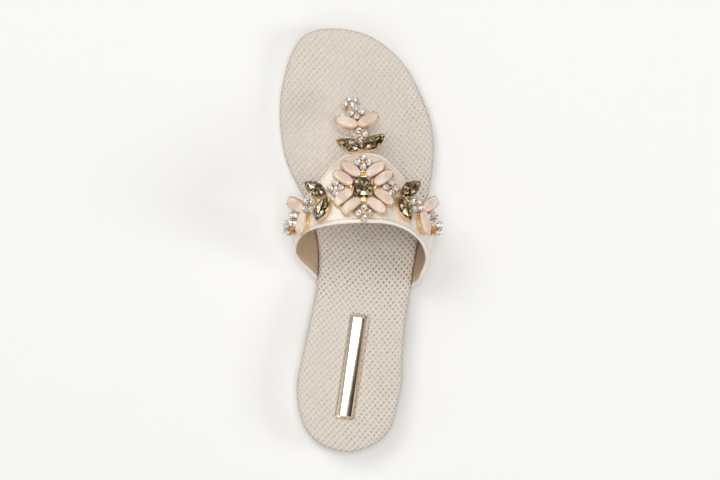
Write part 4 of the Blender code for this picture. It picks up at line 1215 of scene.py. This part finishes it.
def window_edge(settings, finish):
    """Stitched edge of the bar's window: teeth laid outwards over the cover, evenly round the bar."""
    centre, side, forward, half_width, half_length = bar_seat()
    axes = np.array([side, forward])
    reach = settings.tooth_reach
    corners = np.array([(-1, -1), (1, -1), (1, 1), (-1, 1)]) * (half_width, half_length)
    placements = []
    for start, end in zip(corners, np.roll(corners, -1, axis=0)):
        length = np.linalg.norm(end - start)
        way = (end - start) / length
        out = np.array([way[1], -way[0]])
        count = round(length / settings.tooth_pitch)
        for k in range(count):
            spot = start + way * length * (k + 0.5) / count + out * (WINDOW_PLAY + reach / 2)
            flat = centre + spot @ axes - SHIFT
            flat[2] = footbed_top(flat[1]) - TOOTH_SINK
            slant = (out * reach / 2 + way * TOOTH_SLANT) @ axes
            up = np.array([0.0, 0.0, TOOTH_HALF_HEIGHT])
            placements.append((flat, way @ axes * TOOTH_HALF_WIDTH, slant, up))
    piece("window_stitches", *repeated(bead_shape(5, 7), placements), "lattice_cloth", [finish],
          weld=False)


# Stones and settings

def stone_outline(kind, length, width, turn):
    """Outline of a stone at angles round it: oval, boat shape of two parabolas, or cushion."""
    if kind == "navette":
        t = (turn / (2 * math.pi)) % 1.0
        y = np.where(t < 0.5, 4 * t - 1, 3 - 4 * t)
        sign = np.where(t < 0.5, 1.0, -1.0)
        return np.column_stack([sign * width / 2 * (1 - y**2), length / 2 * y])
    c, s = np.cos(turn), np.sin(turn)
    power = {"cushion": 3.0, "oval": 2.5}.get(kind, 2.0)
    radius = (np.abs(c) ** power + np.abs(s) ** power) ** (-1 / power)
    return np.column_stack([width / 2 * radius * c, length / 2 * radius * s])


def cut_stone(kind, length, width, height, sides):
    """Faceted stone: rings at the base, girdle, crown and table, each turned half a step from the
    one below and joined by triangles. The table is a shallow fan, as the facets under it show."""
    levels = ((0.80, 0.0, 0.0), (1.0, 0.34, 0.0), (0.80, 0.72, 0.5), (0.50, 1.0, 0.0))
    step = 2 * math.pi / sides
    base = np.arange(sides) * step + (step / 2 if kind != "navette" else 0.0)
    rings = []
    for share, level, shift in levels:
        flat = stone_outline(kind, length, width, base + shift * step) * share
        rings.append(np.column_stack([flat, np.full(sides, level * height)]))
    i = np.arange(sides)
    ahead = (i + 1) % sides
    faces = [(a, b, sides + b, sides + a) for a, b in zip(i, ahead)]
    for low, shifted in ((1, True), (2, False)):
        a, b = low * sides, (low + 1) * sides
        for k, n in zip(i, ahead):
            if shifted:
                faces += [(a + k, a + n, b + k), (a + n, b + n, b + k)]
            else:
                faces += [(a + k, a + n, b + n), (a + k, b + n, b + k)]
    middle = 4 * sides
    faces += [(3 * sides + k, 3 * sides + n, middle) for k, n in zip(i, ahead)] + [tuple(i[::-1])]
    points = np.vstack([*rings, (0.0, 0.0, height * (1.0 - TABLE_SINK))])
    return points, [tuple(int(k) for k in face) for face in faces]


def smooth_stone(length, width, height):
    """Polished oval stone: a soft bevel from the girdle to a flat table, as rings of one outline."""
    levels = ((0.84, 0.0), (0.97, 0.22), (1.0, 0.34), (0.985, 0.46), (0.90, 0.72), (0.80, 0.92),
              (0.74, 0.985), (0.66, 1.0), (0.30, 1.0))
    outline = stone_outline("oval", length, width, round_turn(SMOOTH_SIDES))
    return closed_tube(np.array([np.column_stack([outline * share, np.full(SMOOTH_SIDES, level * height)])
                                 for share, level in levels]))


def stone_cup(kind, length, width, low, high, wall, sides=CUP_SIDES):
    """Gold rim round a stone: a thin section carried round the outline, its lip finely scalloped."""
    near = stone_outline(kind, length, width, round_turn(sides))
    scallop = 1.0 + 0.25 * np.cos(np.arange(sides) * math.pi)
    section = ((0.15, low), (1.5, low), (1.35, 0.6 * high), (1.0, high), (0.4, high * 0.95),
               (0.15, 0.5 * high))
    rings = []
    for out, level in section:
        grown = near * (1.0 + 2 * out * wall / np.array([width, length]))
        lift = level * (scallop if level >= 0.9 * high else 1.0)
        rings.append(np.column_stack([grown, np.broadcast_to(lift, sides)]))
    return wrapped(np.array(rings), wrap_rows=True)


def cluster_axes(node):
    """Frame of a crystal cluster; its four lobes lie along the side and long axes.

    Their heading is a quarter of the angle of the sum of fourth powers of the corners' plan
    places, taken as complex numbers."""
    centre, side, forward, up, low, high = solid_axes(node)
    local = (solid_points(node) - centre) @ np.column_stack([side, forward])
    angle = np.angle(((local[:, 0] + 1j * local[:, 1]) ** 4).sum()) / 4
    turned_side = math.cos(angle) * side + math.sin(angle) * forward
    return centre, turned_side, np.cross(up, turned_side), up, low, high


def build_stone(node, finishes, settings, random):
    """Cut stone, or four crystals, in place of a packed stone; returns its cups for the settings."""
    kind = STONE_KINDS[node.split("_")[0]]
    centre, *axes, low, high = cluster_axes(node) if kind == "cluster" else solid_axes(node)
    side, forward, up = axes
    base = centre + low[2] * up - SHIFT
    height = high[2] - low[2]
    width, length = high[:2] - low[:2] + STONE_GROWTH
    rim = CUP_HEIGHT[kind] * height
    if kind == "cluster":
        wide = CRYSTAL_DIAMETER + CRYSTAL_GROWTH
        shape = cut_stone("round", wide, wide, height, settings.facets)
        cup = stone_cup("round", wide, wide, -GAP, rim, CRYSTAL_CUP_WALL, CRYSTAL_CUP_SIDES)
        spots = [base + CRYSTAL_SPACING * (a * side + b * forward)
                 for a, b in ((1, 0), (0, 1), (-1, 0), (0, -1))]
    else:
        sizes = (length, width, height)
        shape = smooth_stone(*sizes) if kind == "oval" else cut_stone(kind, *sizes, CUT_SIDES)
        cup = stone_cup(kind, length, width, -GAP, rim, settings.cup_wall)
        spots = [base]
    places = [(spot, *axes) for spot in spots]
    cups = [repeated(cup, places)]
    if kind == "cluster":
        reach = BEAD_REACH * CRYSTAL_SPACING
        beads = [base + reach * (a * side + b * forward) + BEAD_HEIGHT * height * up
                 for a, b in ((1, 1), (-1, 1), (-1, -1), (1, -1))]
        beads.append(base + MIDDLE_BEAD_HEIGHT * height * up)
        round_axes = [axis * settings.bead for axis in axes]
        cups.append(repeated(bead_shape(), [(spot, *round_axes) for spot in beads]))
    points, faces = repeated(shape, places)
    slot = {"cluster": "crystal", "oval": "pink_opal"}.get(kind, "smoky_glass")
    # Random share per facet for its painted reflection in the finish.
    painted_reflection = random.random(len(faces))
    made = piece("cut_" + node, points, faces, slot, [finishes[slot]], weld=False,
                 attributes={"facet": ("FACE", painted_reflection)}, sharp=35 if kind == "oval" else 0)
    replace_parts(made, node)
    return cups


def link_beads():
    """Beads of the two mesh links, in rows over the strap beside the flower."""
    placements = []
    for side in SIDES:
        for i in np.linspace(-LINK_FILL, LINK_FILL, 4):
            for j in np.linspace(-LINK_FILL, LINK_FILL, 5):
                across, along = LINK_ACROSS + i * LINK_LENGTH, LINK_ALONG + j * LINK_WIDTH
                origin, way, forward, up = strap_place(side, across, along)
                axes = [axis * LINK_BEAD for axis in (way, forward, up)]
                placements.append((origin + (PLATE_HEIGHT + GAP) * up, *axes))
    return repeated(bead_shape(), placements)


def strap_place(side, across, along):
    """Frame on the strap's face, from the flower's centre: origin, across, forward and up axes."""
    y = STRAP_PEAK * SOLE_LENGTH - FLOWER_BEHIND_PEAK + along
    length = np.interp(y, LAST_PLACES, LAST_TABLES[side][1])
    here, out, ahead = [inside_points(side, np.array(a / length), np.array(b))
                        for a, b in ((across, y), (across + GAP, y), (across, y + GAP))]
    forward = unit(ahead - here)
    up = unit(np.cross((out - here) * SIDES[side], forward))
    return here + (STRAP_WALL + GAP) * up, np.cross(forward, up), forward, up


# Operators

def dress(node, finish):
    """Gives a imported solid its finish; its mesh stays as it is."""
    mesh = frame["nodes"][node].data
    mesh.materials.clear()
    mesh.materials.append(finish)


class SLIDE_OT_sole(bpy.types.Operator):
    """Builds the rubber unit and the lattice footbed cover"""
    bl_idname = "slide.sole"
    bl_label = "Sole"

    def execute(self, context):
        settings = context.scene.slide_sole
        outsole_unit(rubber_finish(settings))
        footbed_cover(settings, cloth_finish(settings))
        return {"FINISHED"}


class SLIDE_OT_strap(bpy.types.Operator):
    """Builds the lasted strap with its lining and stitches"""
    bl_idname = "slide.strap"
    bl_label = "Strap"

    def execute(self, context):
        settings = context.scene.slide_strap
        strap_shell(settings, patent_finish(settings), lining_finish(settings))
        strap_stitches(settings, thread_finish("strap_thread", settings.thread))
        return {"FINISHED"}


class SLIDE_OT_post(bpy.types.Operator):
    """Builds the clear toe post"""
    bl_idname = "slide.post"
    bl_label = "Toe post"

    def execute(self, context):
        settings = context.scene.slide_post
        clear_post(vinyl_finish(settings))
        return {"FINISHED"}


class SLIDE_OT_bar(bpy.types.Operator):
    """Polishes the inset bar and stitches the edge of its window"""
    bl_idname = "slide.bar"
    bl_label = "Bar"

    def execute(self, context):
        settings = context.scene.slide_bar
        centre, side, _, half_width, _ = bar_seat()
        middle = centre[:2] + BAR_DOME_START * side[:2]
        dome = (middle, side[:2], BAR_DOME, half_width - BAR_BEVEL - BAR_DOME_START)
        dress("inset_bar", polished_finish("pale_metal", settings.metal, 0.10, 0.4, dome))
        window_edge(settings, thread_finish("window_thread", settings.thread))
        return {"FINISHED"}


class SLIDE_OT_stones(bpy.types.Operator):
    """Cuts the stones and adds the rims, beads and links of their gold settings"""
    bl_idname = "slide.stones"
    bl_label = "Stones"

    def execute(self, context):
        settings = context.scene.slide_stones
        gold = polished_finish("gold_metal", settings.gold, 0.16, 1.0)
        smoky = facet_finish("smoky_glass", SMOKY_TONES_AND_REFLECTIONS, 0.05, 0.35)
        clear = facet_finish("crystal", CRYSTAL_REFLECTIONS, 0.03, 0.25)
        finishes = {"crystal": clear, "smoky_glass": smoky, "pink_opal": opal_finish(settings)}
        cups = {"flower_frame": [], "toe_arm_frame": [], "medial_arm_frame": [], "lateral_arm_frame": []}
        nodes = [item["node"] for item in frame["record"]["subparts"]]
        stones = [node for node in nodes if node.split("_")[0] in STONE_KINDS]
        for number, node in enumerate(stones):
            own = next((name for name in cups if f"_{name.split('_')[0]}_" in node), "flower_frame")
            cups[own] += build_stone(node, finishes, settings, np.random.default_rng(number + FIRST_SEED))
        for name, shapes in cups.items():
            dress(name, gold)
            piece(name.split("_")[0] + "_cups", *joined(shapes), "gold_metal", [gold], weld=False,
                  sharp=60)
        piece("link_beads", *link_beads(), "gold_metal", [gold], weld=False)
        return {"FINISHED"}


class SLIDE_OT_stage(bpy.types.Operator):
    """Lays the floor and sets the lights and the camera"""
    bl_idname = "slide.stage"
    bl_label = "Stage"

    def execute(self, context):
        settings = context.scene.slide_stage
        self.floor(settings)
        self.world(context)
        self.lights()
        self.camera(context, settings)
        context.scene.view_settings.view_transform = "Standard"
        return {"FINISHED"}

    def floor(self, settings):
        """Flat floor that curls up far from the shoe, as a grid lifted by the square of its distance."""
        x, y = np.meshgrid(*[np.linspace(-FLOOR_REACH, FLOOR_REACH, FLOOR_POINTS)] * 2)
        away = np.clip(np.hypot(x, y) - FLOOR_FLAT, 0.0, None)
        points = np.stack([x, y, FLOOR_CURL * away**2], -1).reshape(-1, 3)
        mesh = bpy.data.meshes.new("floor")
        mesh.from_pydata(points.tolist(), [], grid_faces(FLOOR_POINTS, FLOOR_POINTS).tolist())
        shade(mesh, None)
        finish = Finish("floor", settings.floor, 0.85)
        cloud = finish.noise(finish.place(), 1.5)
        colour = finish.mix(cloud, settings.floor, toned(settings.floor, 0.985))
        mesh.materials.append(finish.set(Base_Color=colour))
        added("floor", mesh)

    def world(self, context):
        """Pale surroundings, warmer and darker towards the horizon and darkest on the right, which
        the bar and the facets mirror."""
        world = bpy.data.worlds.new("studio")
        context.scene.world = world
        world.use_nodes = True
        tree = Tree(world.node_tree)
        x, _, z = tree.split(tree.node("TexCoord"))
        height = tree.node("MapRange", None, {"Value": z, "From Max": SKY_RISE})
        sky = tree.mix(height, SKY_LOW, SKY_HIGH)
        shine = world.node_tree.nodes["Background"].inputs
        tree.feed(shine["Color"], tree.mix(tree.between(x, *RIGHT_SPAN), sky, SKY_RIGHT))
        tree.feed(shine["Strength"], SKY_STRENGTH)

    def lights(self):
        """Soft boxes: overhead, a key from the toe's left, a low one on the left, a fill on the
        right and one behind the heel."""
        for name, place, size, power, colour in LAMPS:
            light = bpy.data.lights.new(name, "AREA")
            light.size = size
            light.energy = power
            light.color = colour
            lamp = added(name, light)
            lamp.location = place
            lamp.rotation_euler = (-Vector(place)).to_track_quat("-Z", "Y").to_euler()

    def camera(self, context, settings):
        """Camera above the shoe at the photograph's angle, aimed at its middle."""
        data = bpy.data.cameras.new("camera")
        data.lens = settings.focal_length
        data.clip_start = 0.05
        camera = added("camera", data)
        place = Vector((settings.camera_across, settings.camera_along, settings.camera_height))
        back = (place - Vector((0.0, 0.0, AIM_HEIGHT))).normalized()
        right = Vector((0.0, 1.0, 0.0)).cross(back).normalized()
        turn = Matrix((right, back.cross(right), back)).transposed().to_4x4()
        camera.matrix_world = Matrix.Translation(place) @ turn
        context.scene.camera = camera


OPERATORS = (SLIDE_OT_stage, SLIDE_OT_sole, SLIDE_OT_strap, SLIDE_OT_post, SLIDE_OT_bar, SLIDE_OT_stones)
SETTINGS = {
    "slide_sole": SoleSettings, "slide_strap": StrapSettings, "slide_post": PostSettings,
    "slide_bar": BarSettings, "slide_stones": StoneSettings, "slide_stage": StageSettings,
}


class SLIDE_PT_panel(bpy.types.Panel):
    """Lists the slide's operators and settings"""
    bl_label = "Slide"
    bl_idname = "SLIDE_PT_panel"
    bl_space_type = "VIEW_3D"
    bl_region_type = "UI"
    bl_category = "Slide"

    def draw(self, context):
        for operator in OPERATORS:
            self.layout.operator(operator.bl_idname)
        for name, group in SETTINGS.items():
            for key in group.__annotations__:
                self.layout.prop(getattr(context.scene, name), key)


def register():
    """Registers the settings, the operators and the panel."""
    for name, group in SETTINGS.items():
        bpy.utils.register_class(group)
        setattr(bpy.types.Scene, name, PointerProperty(type=group))
    for item in (*OPERATORS, SLIDE_PT_panel):
        bpy.utils.register_class(item)


def unregister():
    """Undoes register."""
    for item in (SLIDE_PT_panel, *OPERATORS):
        bpy.utils.unregister_class(item)
    for name, group in SETTINGS.items():
        delattr(bpy.types.Scene, name)
        bpy.utils.unregister_class(group)


def main():
    """Builds the stage and every piece in order."""
    register()
    bpy.ops.slide.stage()
    bpy.ops.slide.sole()
    bpy.ops.slide.strap()
    bpy.ops.slide.post()
    bpy.ops.slide.bar()
    bpy.ops.slide.stones()


if __name__ == "__main__":
    main()
